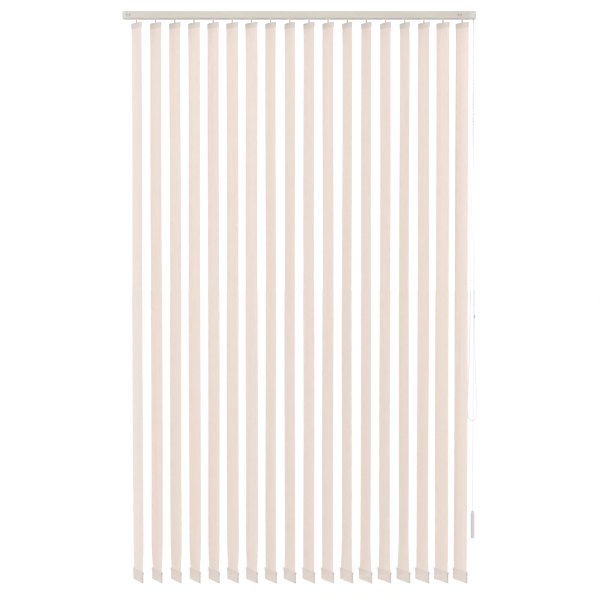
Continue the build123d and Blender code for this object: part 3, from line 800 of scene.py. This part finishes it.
@dataclass
class VaneSet:
    """The eighteen vanes: each a stem, a hanger, a strip of cloth with two pockets, and a weight."""

    width: float = 89 * MM
    cloth: float = 0.5 * MM
    cloth_top: float = -48.1 * MM
    cloth_foot: float = -2441.5 * MM
    top_pocket: float = 24 * MM
    bottom_pocket: float = 50 * MM
    top_bulge: float = 2.6 * MM
    bottom_bulge: float = 3.2 * MM
    mouth: float = 12.2 * MM
    columns: int = 12
    rows: int = 40
    weld_rise: float = 5 * MM
    flap: float = 1.1
    crease: float = 50.0
    lean: tuple[float, ...] = (-4, -7, -6, -7, -5, -6, -6, 0, 1, 0, 0, 5, 5, 4, 7, 3, -2, -1)
    lean_run: float = 0.10
    cup: float = 2.2 * MM
    sway: float = 1.0 * MM
    sway_waves: float = 1.3
    sway_step: float = 0.37
    hanger_width: float = 84 * MM
    hanger_top: float = -48.9 * MM
    hanger_foot: float = -69.4 * MM
    hanger_thick: float = 1.2 * MM
    hanger_corner: float = 2 * MM
    hanger_edge: float = 0.15 * MM
    tab_width: float = 11 * MM
    tab_top: float = -37.4 * MM
    tab_corner: float = 2.4 * MM
    pin_height: float = -40.8 * MM
    pin_hole: float = 1.25 * MM
    weight_width: float = 99 * MM
    weight_top: float = -2395.7 * MM
    weight_foot: float = -2440.7 * MM
    weight_thick: float = 1.8 * MM
    weight_corner: float = 4 * MM
    panel_inset: float = 6 * MM
    panel_depth: float = 0.25 * MM
    ear_reach: float = 51.4 * MM
    ear_radius: float = 0.9 * MM
    ear_cap: float = 1.4 * MM
    ear_top: float = -2390.7 * MM
    arm_top: float = -2397.2 * MM
    arm_foot: float = -2401.7 * MM
    arm_root: float = 4 * MM
    weight_edge: float = 0.3 * MM

    def places(self) -> list[float]:
        """Finds the vanes' axes in the frame.

        Returns:
            Where they stand along the rail, from the first to the last.
        """
        turns = {j["child"]: j["pos_m"][0] for j in frame["joints"] if j["child"].startswith("vane_")}
        return [turns[child] for child in sorted(turns)]

    def fold(self, reach: float, weld: float, tip: float) -> list[tuple[float, float]]:
        """Half of a pocket's path: the depth and height from its weld to its tip.

        Args:
            reach: how far its middle stands out, negative for the front.
            weld: the height where its two layers part.
            tip: the height of the middle of its fold.

        Returns:
            The points, the last of them just before the tip.
        """
        way = 1 if tip > weld else -1
        return [
            (reach, weld + way * self.weld_rise),
            (reach, tip - way * 1.5 * MM),
            (reach * 0.72, tip - way * 0.45 * MM),
        ]

    def path(self) -> list[tuple[float, float]]:
        """The cloth's path from its top flap, over and down to its lower flap.

        Returns:
            The depth and height of each point.
        """
        half = self.cloth / 2
        top_weld, top_tip = self.cloth_top - self.top_pocket, self.cloth_top - half
        foot_weld, foot_tip = self.cloth_foot + self.bottom_pocket, self.cloth_foot + half
        top_reach, foot_reach = self.top_bulge / 2 - half, self.bottom_bulge / 2 - half
        down = np.linspace(top_weld - 2 * MM, foot_weld + 2 * MM, self.rows + 1)
        return [
            (self.cloth * self.flap, top_weld),
            *self.fold(top_reach, top_weld, top_tip),
            (0.0, top_tip),
            *reversed(self.fold(-top_reach, top_weld, top_tip)),
            *[(0.0, float(height)) for height in down],
            *self.fold(-foot_reach, foot_weld, foot_tip),
            (0.0, foot_tip),
            *reversed(self.fold(foot_reach, foot_weld, foot_tip)),
            (self.cloth * self.flap, foot_weld),
        ]

    def strip_of_cloth(self) -> bpy.types.Object:
        """One strip of cloth, flat on the XZ plane, as a thin closed shell with its map.

        Returns:
            The pattern that every vane's cloth is copied from.
        """
        path = self.path()
        bpy.ops.mesh.primitive_grid_add(
            x_subdivisions=self.columns, y_subdivisions=1, size=self.width, location=(0, 0, 0)
        )
        strip = just_added("cloth_pattern")
        pick(strip, Element.CORNER, lambda place: place.y > 0)
        bpy.ops.mesh.delete(type="VERT")
        column = self.width / self.columns
        pick(strip, Element.CORNER, lambda place: 0.5 * column < abs(place.x) < 1.5 * column)
        share = self.mouth / 2 / column
        bpy.ops.transform.resize(value=(share, 1, 1), center_override=(0, -self.width / 2, 0))
        pick(strip, Element.EDGE, lambda place: True)
        depth, height = path[0]
        bpy.ops.transform.translate(value=(0, depth + self.width / 2, height))
        for next_depth, next_height in path[1:]:
            push((0, next_depth - depth, next_height - height))
            depth, height = next_depth, next_height
        top = self.cloth_top - 1.2 * MM
        pick(strip, Element.FACE, lambda place: abs(place.x) < self.mouth / 2 and place.z > top)
        bpy.ops.mesh.delete(type="FACE")
        pick(strip, Element.CORNER, lambda place: True)
        bpy.ops.mesh.normals_make_consistent(inside=False)
        leave()
        take(strip)
        wall = strip.modifiers.new("cloth thickness", "SOLIDIFY")
        wall.thickness = self.cloth
        wall.offset = 0.0
        bpy.ops.object.modifier_apply(modifier=wall.name)
        self.map_cloth(strip)
        smooth(strip, self.crease)
        return strip

    def map_cloth(self, strip: bpy.types.Object) -> None:
        """Gives the cloth a map in metres: across the vane, and height.

        Args:
            strip: the cloth, still on the XZ plane.
        """
        mesh = strip.data
        while mesh.uv_layers:
            mesh.uv_layers.remove(mesh.uv_layers[0])
        layer = mesh.uv_layers.new(name=WEAVE_MAP)
        corners = np.array([v.co for v in mesh.vertices])
        owners = np.zeros(len(mesh.loops), int)
        mesh.loops.foreach_get("vertex_index", owners)
        layer.data.foreach_set("uv", corners[owners][:, [0, 2]].ravel())

    def lean_angle(self, number: int) -> float:
        """How far one vane's top is turned on its carrier beyond the rest angle, in radians."""
        return math.radians(self.lean[number % len(self.lean)])

    def hang(self, cloth: bpy.types.Object, number: int) -> None:
        """Lets one cloth lean, cup and sway a little above its weight.

        Args:
            cloth: the strip, still on the XZ plane.
            number: the vane's number, from 0.
        """
        points = np.array([v.co for v in cloth.data.vertices])
        x, y, z = points.T
        below = np.clip((self.cloth_top - self.top_pocket - z) / self.lean_run, 0, 1)
        above = np.clip((z - self.cloth_foot - self.bottom_pocket) / self.lean_run, 0, 1)
        free = above**2 * (3 - 2 * above)
        loose = free * below**2 * (3 - 2 * below)
        fall = (self.cloth_top - z) / (self.cloth_top - self.cloth_foot)
        wave = np.sin(2 * math.pi * (self.sway_waves * fall + self.sway_step * number))
        away = -1 if number == len(self.lean) - 1 else 1  # the last cups away from the tilt chain
        bow = away * self.cup * (1 - (2 * x / self.width) ** 2) + self.sway * wave
        y = y + loose * bow
        turn = -self.lean_angle(number) * free
        points[:, 0] = x * np.cos(turn) - y * np.sin(turn)
        points[:, 1] = x * np.sin(turn) + y * np.cos(turn)
        cloth.data.vertices.foreach_set("co", points.ravel())
        strip = cloth.data.attributes.new(STRIP_ATTRIBUTE, "FLOAT", "POINT")
        strip.data.foreach_set("value", np.full(len(points), float(number)))
        cloth.data.update()

    def plate(
        self, name: str, width: float, thick: float, foot: float, top: float, corner: float
    ) -> bpy.types.Object:
        """A flat plate on the XZ plane with rounded corners.

        Args:
            name: its name.
            width: its size along X.
            thick: its size along Y.
            foot: the height of its foot.
            top: the height of its top.
            corner: the radius of its corners.

        Returns:
            The plate.
        """
        made = box_between(name, (-width / 2, -thick / 2, foot), (width / 2, thick / 2, top))
        middle, half = (foot + top) / 2, (top - foot) / 2
        pick(
            made,
            Element.EDGE,
            lambda place: abs(place.x) > width / 2 - NEAR and abs(place.z - middle) > half - NEAR,
        )
        bpy.ops.mesh.bevel(offset=corner, segments=5, affect="EDGES")
        leave()
        return made

    def hanger(self) -> bpy.types.Object:
        """The stiff strip in the top pocket, with its tab and the tab's pin hole.

        Returns:
            The pattern that every hanger is copied from.
        """
        strip = self.plate(
            "hanger_pattern",
            self.hanger_width,
            self.hanger_thick,
            self.hanger_foot,
            self.hanger_top,
            self.hanger_corner,
        )
        half = self.tab_width / 2
        for side in (-half, half):
            pick(strip, Element.FACE, lambda place: True)
            bpy.ops.mesh.bisect(plane_co=(side, 0, 0), plane_no=(1, 0, 0))
        pick(strip, Element.FACE, lambda place: abs(place.x) < NEAR and place.z > self.hanger_top - NEAR)
        push((0, 0, self.tab_top - self.hanger_top))
        pick(
            strip,
            Element.EDGE,
            lambda place: abs(place.x) > half - NEAR and place.z > self.tab_top - NEAR,
        )
        bpy.ops.mesh.bevel(offset=self.tab_corner, segments=4, affect="EDGES")
        leave()
        bpy.ops.mesh.primitive_cylinder_add(
            vertices=20,
            radius=self.pin_hole,
            depth=5 * self.hanger_thick,
            location=(0, 0, self.pin_height),
            rotation=(math.pi / 2, 0, 0),
        )
        drill = just_added("pin_drill")
        take(strip)
        hole = strip.modifiers.new("pin hole", "BOOLEAN")
        hole.operation = "DIFFERENCE"
        hole.object = drill
        bpy.ops.object.modifier_apply(modifier=hole.name)
        discard([drill])
        ease_edges(strip, self.hanger_edge, 1)
        smooth(strip)
        return strip

    def weight(self) -> bpy.types.Object:
        """The weight in the bottom pocket: a plate with sunk panels, and an ear at each top corner.

        Returns:
            The pattern that every weight is copied from.
        """
        plate = self.plate(
            "weight_pattern",
            self.weight_width,
            self.weight_thick,
            self.weight_foot,
            self.weight_top,
            self.weight_corner,
        )
        for side in (-1, 1):
            face_y = side * self.weight_thick / 2
            pick(plate, Element.FACE, lambda place: abs(place.y - face_y) < NEAR)
            bpy.ops.mesh.inset(thickness=self.panel_inset, depth=0)
            bpy.ops.mesh.inset(thickness=self.panel_depth, depth=-self.panel_depth)
        leave()
        parts = [plate]
        half_thick = self.weight_thick / 2
        for side in (-1, 1):
            root, end = self.weight_width / 2 - self.arm_root, self.ear_reach + self.ear_radius
            left, right = sorted((side * root, side * end))
            low = (left, -half_thick, self.arm_foot)
            high = (right, half_thick, self.arm_top)
            arm = box_between("arm", low, high)
            ease_edges(arm, self.weight_edge)
            lip = self.ear_cap - self.ear_radius
            outline = [
                (self.ear_radius, self.arm_foot + MM),
                (self.ear_radius, self.ear_top - 2 * lip),
                (self.ear_cap, self.ear_top - lip),
                (self.ear_cap, self.ear_top - 0.6 * lip),
                (self.ear_cap - lip, self.ear_top),
            ]
            post = turned("post", outline, 12)
            post.data.transform(moved((side * self.ear_reach, 0, 0)))
            parts += [arm, post]
        ease_edges(plate, self.weight_edge)
        made = join("weight_pattern", parts)
        smooth(made)
        return made

    def stem(self) -> bpy.types.Object:
        """The first vane's stem, with its pinion and fork, taken from the frame's own solid.

        Returns:
            The pattern that every stem is copied from, in the first vane's place.
        """
        whole = copy_of(frame["nodes"]["vane_01"], "stem_pattern")
        pick(whole, Element.CORNER, lambda place: True)
        bpy.ops.mesh.remove_doubles(threshold=MERGE_DISTANCE)
        bpy.ops.mesh.separate(type="LOOSE")
        leave()
        parts = [o for o in bpy.context.selected_objects if o.type == "MESH"]
        stem = max(parts, key=lambda part: max(v.co.z for v in part.data.vertices))
        discard(part for part in parts if part is not stem)
        smooth(stem)
        return stem

    def build(self, finishes: dict[Slot, bpy.types.Material]) -> None:
        """Models one vane and hangs a copy of it, with its own lean, from every carrier.

        Args:
            finishes: every finish, by slot.
        """
        stem, strip, hanger, weight = self.stem(), self.strip_of_cloth(), self.hanger(), self.weight()
        places = self.places()
        for number, x in enumerate(places):
            label = f"{number + 1:02d}"
            body = f"vane_{label}"
            stand = moved((x, 0, 0)) @ Matrix.Rotation(-REST_ANGLE, 4, "Z")
            cloth = copy_of(strip, f"cloth_{label}")
            self.hang(cloth, number)
            cloth.data.transform(stand)
            finish_piece(cloth, body, Slot.FABRIC, finishes, body)
            own_hanger = copy_of(hanger, f"hanger_{label}")
            own_hanger.data.transform(stand @ Matrix.Rotation(-self.lean_angle(number), 4, "Z"))
            finish_piece(own_hanger, body, Slot.HANGER, finishes)
            own_weight = copy_of(weight, f"weight_{label}")
            own_weight.data.transform(stand)
            finish_piece(own_weight, body, Slot.WEIGHT, finishes)
            own_stem = copy_of(stem, f"stem_{label}")
            own_stem.data.transform(moved((x - places[0], 0, 0)))
            finish_piece(own_stem, body, Slot.WHITE, finishes)
        discard([stem, strip, hanger, weight])
        LOG.info("vanes: %d, each a stem, a hanger, a cloth and a weight", len(places))


# ---- bottom chains ----------------------------------------------------------------------------------


@dataclass
class BottomChains:
    """The two chains of small beads that tie the vanes' weights together by their ears."""

    eye_height: float = -2392.9 * MM
    sag: float = 13 * MM
    eye_radius: float = 1.7 * MM
    eye_wire: float = 0.45 * MM
    bead_radius: float = 0.9 * MM
    string_radius: float = 0.42 * MM
    bead_pitch: float = 3.6 * MM
    eye_room: float = 2.6 * MM
    sag_curve: tuple[tuple[float, float], ...] = ((1.9 * MM, 0.0), (12 * MM, 0.62), (27 * MM, 0.94))
    stacked_share: float = 22 / 81.447

    def route(self, start: Vector, pitch: float, spans: int) -> list[Point]:
        """The points of one chain's line, through every eye and down between each two.

        Args:
            start: the first eye's place.
            pitch: from one eye to the next.
            spans: how many spans there are.

        Returns:
            The line's control points.
        """
        found = []
        for number in range(spans):
            x = start.x + number * pitch
            down = [(x + reach, share) for reach, share in self.sag_curve]
            up = [(x + pitch - reach, share) for reach, share in reversed(self.sag_curve)]
            found += [(at, start.y, self.eye_height - share * self.sag) for at, share in down + up]
        return found

    def build(self, places: list[float], finishes: dict[Slot, bpy.types.Material]) -> None:
        """Builds the front and the rear chain.

        Args:
            places: the vanes' places along the rail.
            finishes: every finish, by slot.
        """
        starts = {j["child"]: Vector(j["pos_m"]) for j in frame["joints"] if "pos_m" in j}
        pitch = (places[-1] - places[0]) / (len(places) - 1)
        for side in ("front", "rear"):
            body = f"{side}_chain"
            start = starts[body]
            route = self.route(start, pitch, len(places) - 1)
            line = points_along(route, self.bead_pitch)
            string = smooth_line(f"{side}_string", route, self.string_radius)
            take(string)
            bpy.ops.object.convert(target="MESH")
            string = bpy.context.active_object

            bpy.ops.mesh.primitive_uv_sphere_add(segments=6, ring_count=5, radius=self.bead_radius)
            bead = just_added("bead_pattern")
            eyes_x = [start.x + number * pitch for number in range(len(places))]
            free = [p for p in line if min(abs(p[0] - x) for x in eyes_x) > self.eye_room]
            beads = arranged(f"{side}_beads", bead, [moved(p) for p in free])
            bpy.ops.mesh.primitive_torus_add(
                major_radius=self.eye_radius,
                minor_radius=self.eye_wire,
                major_segments=14,
                minor_segments=6,
            )
            eye = just_added("eye_pattern")
            eye_places = [moved((x, start.y, self.eye_height)) for x in eyes_x]
            eyes = arranged(f"{side}_eyes", eye, eye_places)
            chain = join(f"{side}_bead_chain", [beads, eyes, string])
            smooth(chain, 60)
            finish_piece(chain, body, Slot.CHAIN, finishes, f"bottom_chain_{side}")
            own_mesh(chain)
            LOG.info("%s bottom chain: %d beads, %d eyes", side, len(free), len(eyes_x))


# ---- tilt chain -------------------------------------------------------------------------------------


@dataclass
class TiltChain:
    """The endless bead chain that turns the vanes, with the sleeve that joins its ends."""

    string_radius: float = 0.7 * MM
    bead_radius: float = 2.25 * MM
    bead_pitch: float = 6 * MM
    length: float = 3481.8 * MM
    axis_y: float = 9.5 * MM
    axis_z: float = -17 * MM
    wheel_radius: float = 8.5 * MM
    sleeve_height: float = -1300.5 * MM
    sleeve_length: float = 15 * MM
    sleeve_radius: float = 3.1 * MM
    sleeve_chamfer: float = 0.6 * MM
    groove_half: float = 0.45 * MM
    groove_depth: float = 0.35 * MM
    groove_floor_half: float = 0.2 * MM

    def route(self) -> list[Point]:
        """The free loop, from the front of the wheel, down, round and up to its back.

        Returns:
            The line's control points.
        """
        points = (
            (741, 1, -17),
            (741, 1, -69),
            (731.4, 0.4, -1331.5),
            (727, 0.2, -1501.5),
            (722.4, 0, -1617.5),
            (720.1, 0, -1687.5),
            (722, 0.3, -1727.5),
            (732.5, 1.2, -1747.5),
            (749.2, 2.6, -1748.5),
            (760.6, 3.6, -1730.5),
            (762.6, 4, -1691.5),
            (759.9, 4.6, -1623.5),
            (755.5, 5.6, -1541.5),
            (751.2, 7, -1403.5),
            (741, 18, -69),
            (741, 18, -17),
        )
        return [tuple(value * MM for value in point) for point in points]

    def wrap(self, x: float) -> list[Point]:
        """Places the beads in the half turn over the wheel.

        Args:
            x: the wheel's place along the rail.

        Returns:
            The beads' places.
        """
        count = round(math.pi * self.wheel_radius / self.bead_pitch)
        found = []
        for number in range(1, count):
            angle = math.pi * number / count
            y = self.axis_y - self.wheel_radius * math.cos(angle)
            found.append((x, y, self.axis_z + self.wheel_radius * math.sin(angle)))
        return found

    def sleeve(self, middle: Vector, along: Vector) -> bpy.types.Object:
        """The two-part sleeve on the rear strand.

        Args:
            middle: its place on the strand.
            along: the strand's direction there.

        Returns:
            The sleeve.
        """
        half, radius, chamfer = self.sleeve_length / 2, self.sleeve_radius, self.sleeve_chamfer
        sunk = radius - self.groove_depth
        outline = [
            (radius - chamfer, -half),
            (radius, -half + chamfer),
            (radius, -self.groove_half),
            (sunk, -self.groove_floor_half),
            (sunk, self.groove_floor_half),
            (radius, self.groove_half),
            (radius, half - chamfer),
            (radius - chamfer, half),
        ]
        made = turned("chain_sleeve", outline, 24)
        turn = along.to_track_quat("Z", "Y").to_matrix().to_4x4()
        made.data.transform(moved(middle) @ turn)
        smooth(made)
        return made

    def build(self, finishes: dict[Slot, bpy.types.Material]) -> None:
        """Args:
            finishes: every finish, by slot.
        """
        route = self.route()
        string = smooth_line("chain_string", route, self.string_radius)
        finish_piece(string, "rail", Slot.CHAIN, finishes, "tilt_chain")
        line = points_along(route, self.bead_pitch)
        rear = [i for i in range(len(line) // 2, len(line)) if line[i][2] > self.sleeve_height]
        first = rear[0]
        share = (self.sleeve_height - line[first - 1][2]) / (line[first][2] - line[first - 1][2])
        middle = Vector(line[first - 1] + share * (line[first] - line[first - 1]))
        sleeve = self.sleeve(middle, Vector(line[first] - line[first - 1]))
        finish_piece(sleeve, "rail", Slot.CONNECTOR, finishes, "chain_connector")
        bpy.ops.mesh.primitive_uv_sphere_add(segments=8, ring_count=6, radius=self.bead_radius)
        bead = just_added("bead_pattern")
        room = self.sleeve_length / 2 - self.bead_radius
        free = [p for p in line if (Vector(p) - middle).length > room]
        beads = arranged("chain_beads", bead, [moved(p) for p in [*free, *self.wrap(route[0][0])]])
        smooth(beads, 80)
        finish_piece(beads, "rail", Slot.CHAIN, finishes)
        LOG.info("tilt chain: %d beads and a sleeve", len(free))


# ---- traverse cord ----------------------------------------------------------------------------------


@dataclass
class TraverseCord:
    """The traverse cord's two hanging strands, and the long weight that keeps them taut."""

    radius: float = 0.9 * MM
    length: float = 4315 * MM
    x: float = 743.5 * MM
    near_y: float = -9.5 * MM
    far_y: float = -16.5 * MM
    top: float = -22.5 * MM
    foot: float = -2178 * MM
    turn_room: float = 7 * MM
    tassel_top: float = -2134.5 * MM
    tassel_foot: float = -2251.5 * MM
    tassel_radius: float = 7.7 * MM
    tassel_neck: float = 5.6 * MM
    tassel_taper: float = 16 * MM
    bore: float = 4.75 * MM
    bore_foot: float = -2182.5 * MM
    band_depth: float = 0.3 * MM
    band_heights: tuple[float, float] = (10 * MM, 17 * MM)
    band_half: float = 0.9 * MM
    band_slope: float = 0.3 * MM
    foot_round: tuple[tuple[float, float], ...] = ((1.2 * MM, 0.0), (0.35 * MM, 0.4 * MM), (0.0, 1.4 * MM))

    def route(self) -> list[Point]:
        """The line down one strand, round the pin in the weight, and up the other.

        Returns:
            The line's control points.
        """
        near, far = self.near_y, self.far_y
        before_turn = self.foot + self.turn_room
        return [
            (self.x, near, self.top),
            (self.x, near, before_turn),
            (self.x, near, self.foot),
            (self.x, far, self.foot),
            (self.x, far, before_turn),
            (self.x, far, self.top),
        ]

    def tassel(self) -> bpy.types.Object:
        """The weight: a long barrel with two shallow bands, a tapered shoulder and a bore.

        Returns:
            The weight, in its place on the cord.
        """
        radius, foot, top = self.tassel_radius, self.tassel_foot, self.tassel_top
        outline = [(radius - inset, foot + rise) for inset, rise in self.foot_round]
        sunk, slope = radius - self.band_depth, self.band_slope
        for height in self.band_heights:
            low, high = foot + height - self.band_half, foot + height + self.band_half
            outline += [(radius, low), (sunk, low + slope), (sunk, high - slope), (radius, high)]
        shoulder = top - self.tassel_taper
        outline += [
            (radius, shoulder),
            (radius - 0.25 * MM, shoulder + 2.5 * MM),
            (self.tassel_neck + 0.3 * MM, top - 1.6 * MM),
            (self.tassel_neck, top - 0.6 * MM),
            (self.tassel_neck - 0.4 * MM, top),
            (self.bore + 0.1 * MM, top - 0.1 * MM),
            (self.bore, top - 0.6 * MM),
            (self.bore, self.bore_foot),
        ]
        made = turned("tassel", outline, 40)
        made.data.transform(moved((self.x, (self.near_y + self.far_y) / 2, 0)))
        smooth(made, 40)
        return made

    def build(self, finishes: dict[Slot, bpy.types.Material]) -> None:
        """Args:
            finishes: every finish, by slot.
        """
        cord = smooth_line("traverse_cord", self.route(), self.radius)
        finish_piece(cord, "rail", Slot.CORD, finishes, "traverse_cord_drop")
        tassel = self.tassel()
        finish_piece(tassel, "rail", Slot.TASSEL, finishes, "tassel_weight")
        LOG.info("traverse cord: two strands and a weight")


# ---- everything that keeps its own solid ------------------------------------------------------------


class Hardware:
    """The headrail, its end pieces, clips, screws, drives and carriers, which keep their solids."""

    def dress(self, finishes: dict[Slot, bpy.types.Material]) -> None:
        """Gives every solid that still shows its own finish.

        Args:
            finishes: every finish, by slot.
        """
        by_name = {slot.value: material for slot, material in finishes.items()}
        shown = [node for node in frame["nodes"].values() if not node.hide_render]
        for node in shown:
            for place in node.material_slots:
                name = place.material.name.split(".")[0]
                place.material = by_name[name]
        LOG.info("solids kept from the frame: %d", len(shown))


# ---- studio -----------------------------------------------------------------------------------------


@dataclass
class Studio:
    """A pale floor under an even white sky, two soft lamps, and the camera."""

    distance: float = 6.3
    lens: float = 88.5
    aim_x: float = 3 * MM
    camera_height: float = -0.86
    tilt: float = 1.84
    shift: float = -0.065
    floor_height: float = -2.75
    floor_size: float = 60.0
    sky: float = 1.17
    left_sky: float = 0.5
    left_edge: float = -0.95
    right_edge: float = -0.2
    lamp_size: float = 2.2
    key_place: Point = (-0.9, -4.0, 1.1)
    key_power: float = 44.0
    fill_place: Point = (2.4, -4.6, 0.3)
    fill_power: float = 22.0

    def floor(self) -> None:
        """A wide plain floor below the blind."""
        bpy.ops.mesh.primitive_plane_add(size=self.floor_size, location=(0, 0, self.floor_height))
        floor = just_added("floor")
        recipe = Recipe("floor_paint")
        clouds = recipe.noise(recipe.object_space((0.4, 0.4, 0.4)))
        recipe.feed(recipe.mix(clouds, (0.95, 0.95, 0.95), (0.97, 0.97, 0.97)), "Base Color")
        recipe.set(Roughness=0.9, Specular_IOR_Level=0.1)
        floor.data.materials.append(recipe.material)

    def lamp(self, name: str, place: Point, power: float) -> None:
        """A square soft lamp turned to the middle of the blind.

        Args:
            name: its name.
            place: where it stands.
            power: in watts.
        """
        light = bpy.data.lights.new(name, "AREA")
        light.size = self.lamp_size
        light.energy = power
        lamp = bpy.data.objects.new(name, light)
        bpy.context.scene.collection.objects.link(lamp)
        lamp.location = place
        middle = (CAD_BOX[0] + CAD_BOX[1]) / 2
        lamp.rotation_euler = (middle - Vector(place)).to_track_quat("-Z", "Y").to_euler()

    def sky_light(self) -> None:
        """A white sky, dimmer on the left, as in a studio with its window on the right."""
        world = bpy.data.worlds.new("sky")
        world.use_nodes = True
        background = next(n for n in world.node_tree.nodes if n.type == "BACKGROUND")
        background.inputs["Color"].default_value = (1.0, 1.0, 1.0, 1.0)
        direction = world.node_tree.nodes.new("ShaderNodeTexCoord")
        split = world.node_tree.nodes.new("ShaderNodeSeparateXYZ")
        ramp = world.node_tree.nodes.new("ShaderNodeMapRange")
        ramp.interpolation_type = "SMOOTHSTEP"
        limits = (self.left_edge, self.right_edge, self.left_sky, self.sky)
        for socket, number in zip(ramp.inputs[1:5], limits):
            socket.default_value = number
        world.node_tree.links.new(direction.outputs["Generated"], split.inputs[0])
        world.node_tree.links.new(split.outputs[0], ramp.inputs[0])
        world.node_tree.links.new(ramp.outputs[0], background.inputs["Strength"])
        bpy.context.scene.world = world
        bpy.context.scene.view_settings.view_transform = "Standard"

    def camera(self) -> None:
        """The camera, a little above the middle and tilted down."""
        data = bpy.data.cameras.new("camera")
        data.lens = self.lens
        data.shift_y = self.shift
        data.clip_end = 100.0
        camera = bpy.data.objects.new("camera", data)
        bpy.context.scene.collection.objects.link(camera)
        camera.location = (self.aim_x, -self.distance, self.camera_height)
        camera.rotation_euler = (math.radians(90 - self.tilt), 0, 0)
        bpy.context.scene.camera = camera

    def build(self) -> None:
        """Sets up the studio."""
        self.floor()
        self.sky_light()
        self.lamp("key_lamp", self.key_place, self.key_power)
        self.lamp("fill_lamp", self.fill_place, self.fill_power)
        self.camera()
        LOG.info("studio: floor, sky, two lamps and the camera")


def make_finishes(vanes: VaneSet) -> dict[Slot, bpy.types.Material]:
    """Every finish of the blind.

    Args:
        vanes: the vanes, whose sizes place the cloth's edges and welds.

    Returns:
        The materials, by slot.
    """
    cloth = PlainWeave(
        Slot.FABRIC,
        cream=(0.81, 0.755, 0.695),
        rose=(0.82, 0.705, 0.655),
        # the slubs' colour, also the painted shade between the threads
        slub_and_gap_shade_colour=(0.72, 0.64, 0.58),
        # painted shade on the two pockets
        pocket_shade_colour=(0.66, 0.60, 0.56),
        # painted shade of the long edges, also the colour of the weld lines
        edge_shade_and_weld_colour=(0.70, 0.66, 0.62),
        half_width=vanes.width / 2,
        top_weld=vanes.cloth_top - vanes.top_pocket,
        bottom_weld=vanes.cloth_foot + vanes.bottom_pocket,
    )
    kinds = [
        cloth,
        PowderCoat(Slot.RAIL, (0.48, 0.445, 0.405), (0.45, 0.415, 0.375)),
        MouldedPlastic(Slot.END, (0.50, 0.49, 0.475), (0.47, 0.46, 0.445), 0.42),
        MouldedPlastic(Slot.WHITE, (0.84, 0.82, 0.79), (0.80, 0.78, 0.75), 0.4),
        MouldedPlastic(Slot.HANGER, (0.66, 0.60, 0.56), (0.62, 0.57, 0.53), 0.5),
        MouldedPlastic(Slot.WEIGHT, (0.56, 0.53, 0.50), (0.52, 0.49, 0.46), 0.5),
        MouldedPlastic(Slot.CHAIN, (0.72, 0.72, 0.74), (0.68, 0.68, 0.70), 0.28, flow=3 * MM),
        MouldedPlastic(Slot.CONNECTOR, (0.50, 0.50, 0.50), (0.46, 0.46, 0.46), 0.35, flow=4 * MM),
        MouldedPlastic(Slot.TASSEL, (0.52, 0.52, 0.54), (0.49, 0.49, 0.51), 0.42),
        DrawnMetal(Slot.STEEL, (0.60, 0.60, 0.61), (0.52, 0.52, 0.53)),
        DrawnMetal(Slot.SCREW, (0.22, 0.215, 0.205), (0.17, 0.165, 0.16), 0.4),
        DrawnMetal(Slot.ALUMINIUM, (0.76, 0.76, 0.78), (0.70, 0.70, 0.72), 0.28),
        # the second colour is the painted shade in the cord's grooves
        BraidedCord(Slot.CORD, (0.72, 0.74, 0.78), (0.60, 0.62, 0.66)),
    ]
    return {kind.slot: kind.material() for kind in kinds}


def main() -> None:
    """Builds the blind and its studio."""
    logging.basicConfig(level=logging.INFO, format="%(name)s: %(message)s")
    vanes = VaneSet()
    finishes = make_finishes(vanes)
    vanes.build(finishes)
    BottomChains().build(vanes.places(), finishes)
    TiltChain().build(finishes)
    TraverseCord().build(finishes)
    Hardware().dress(finishes)
    Studio().build()


if __name__ == "__main__":
    main()
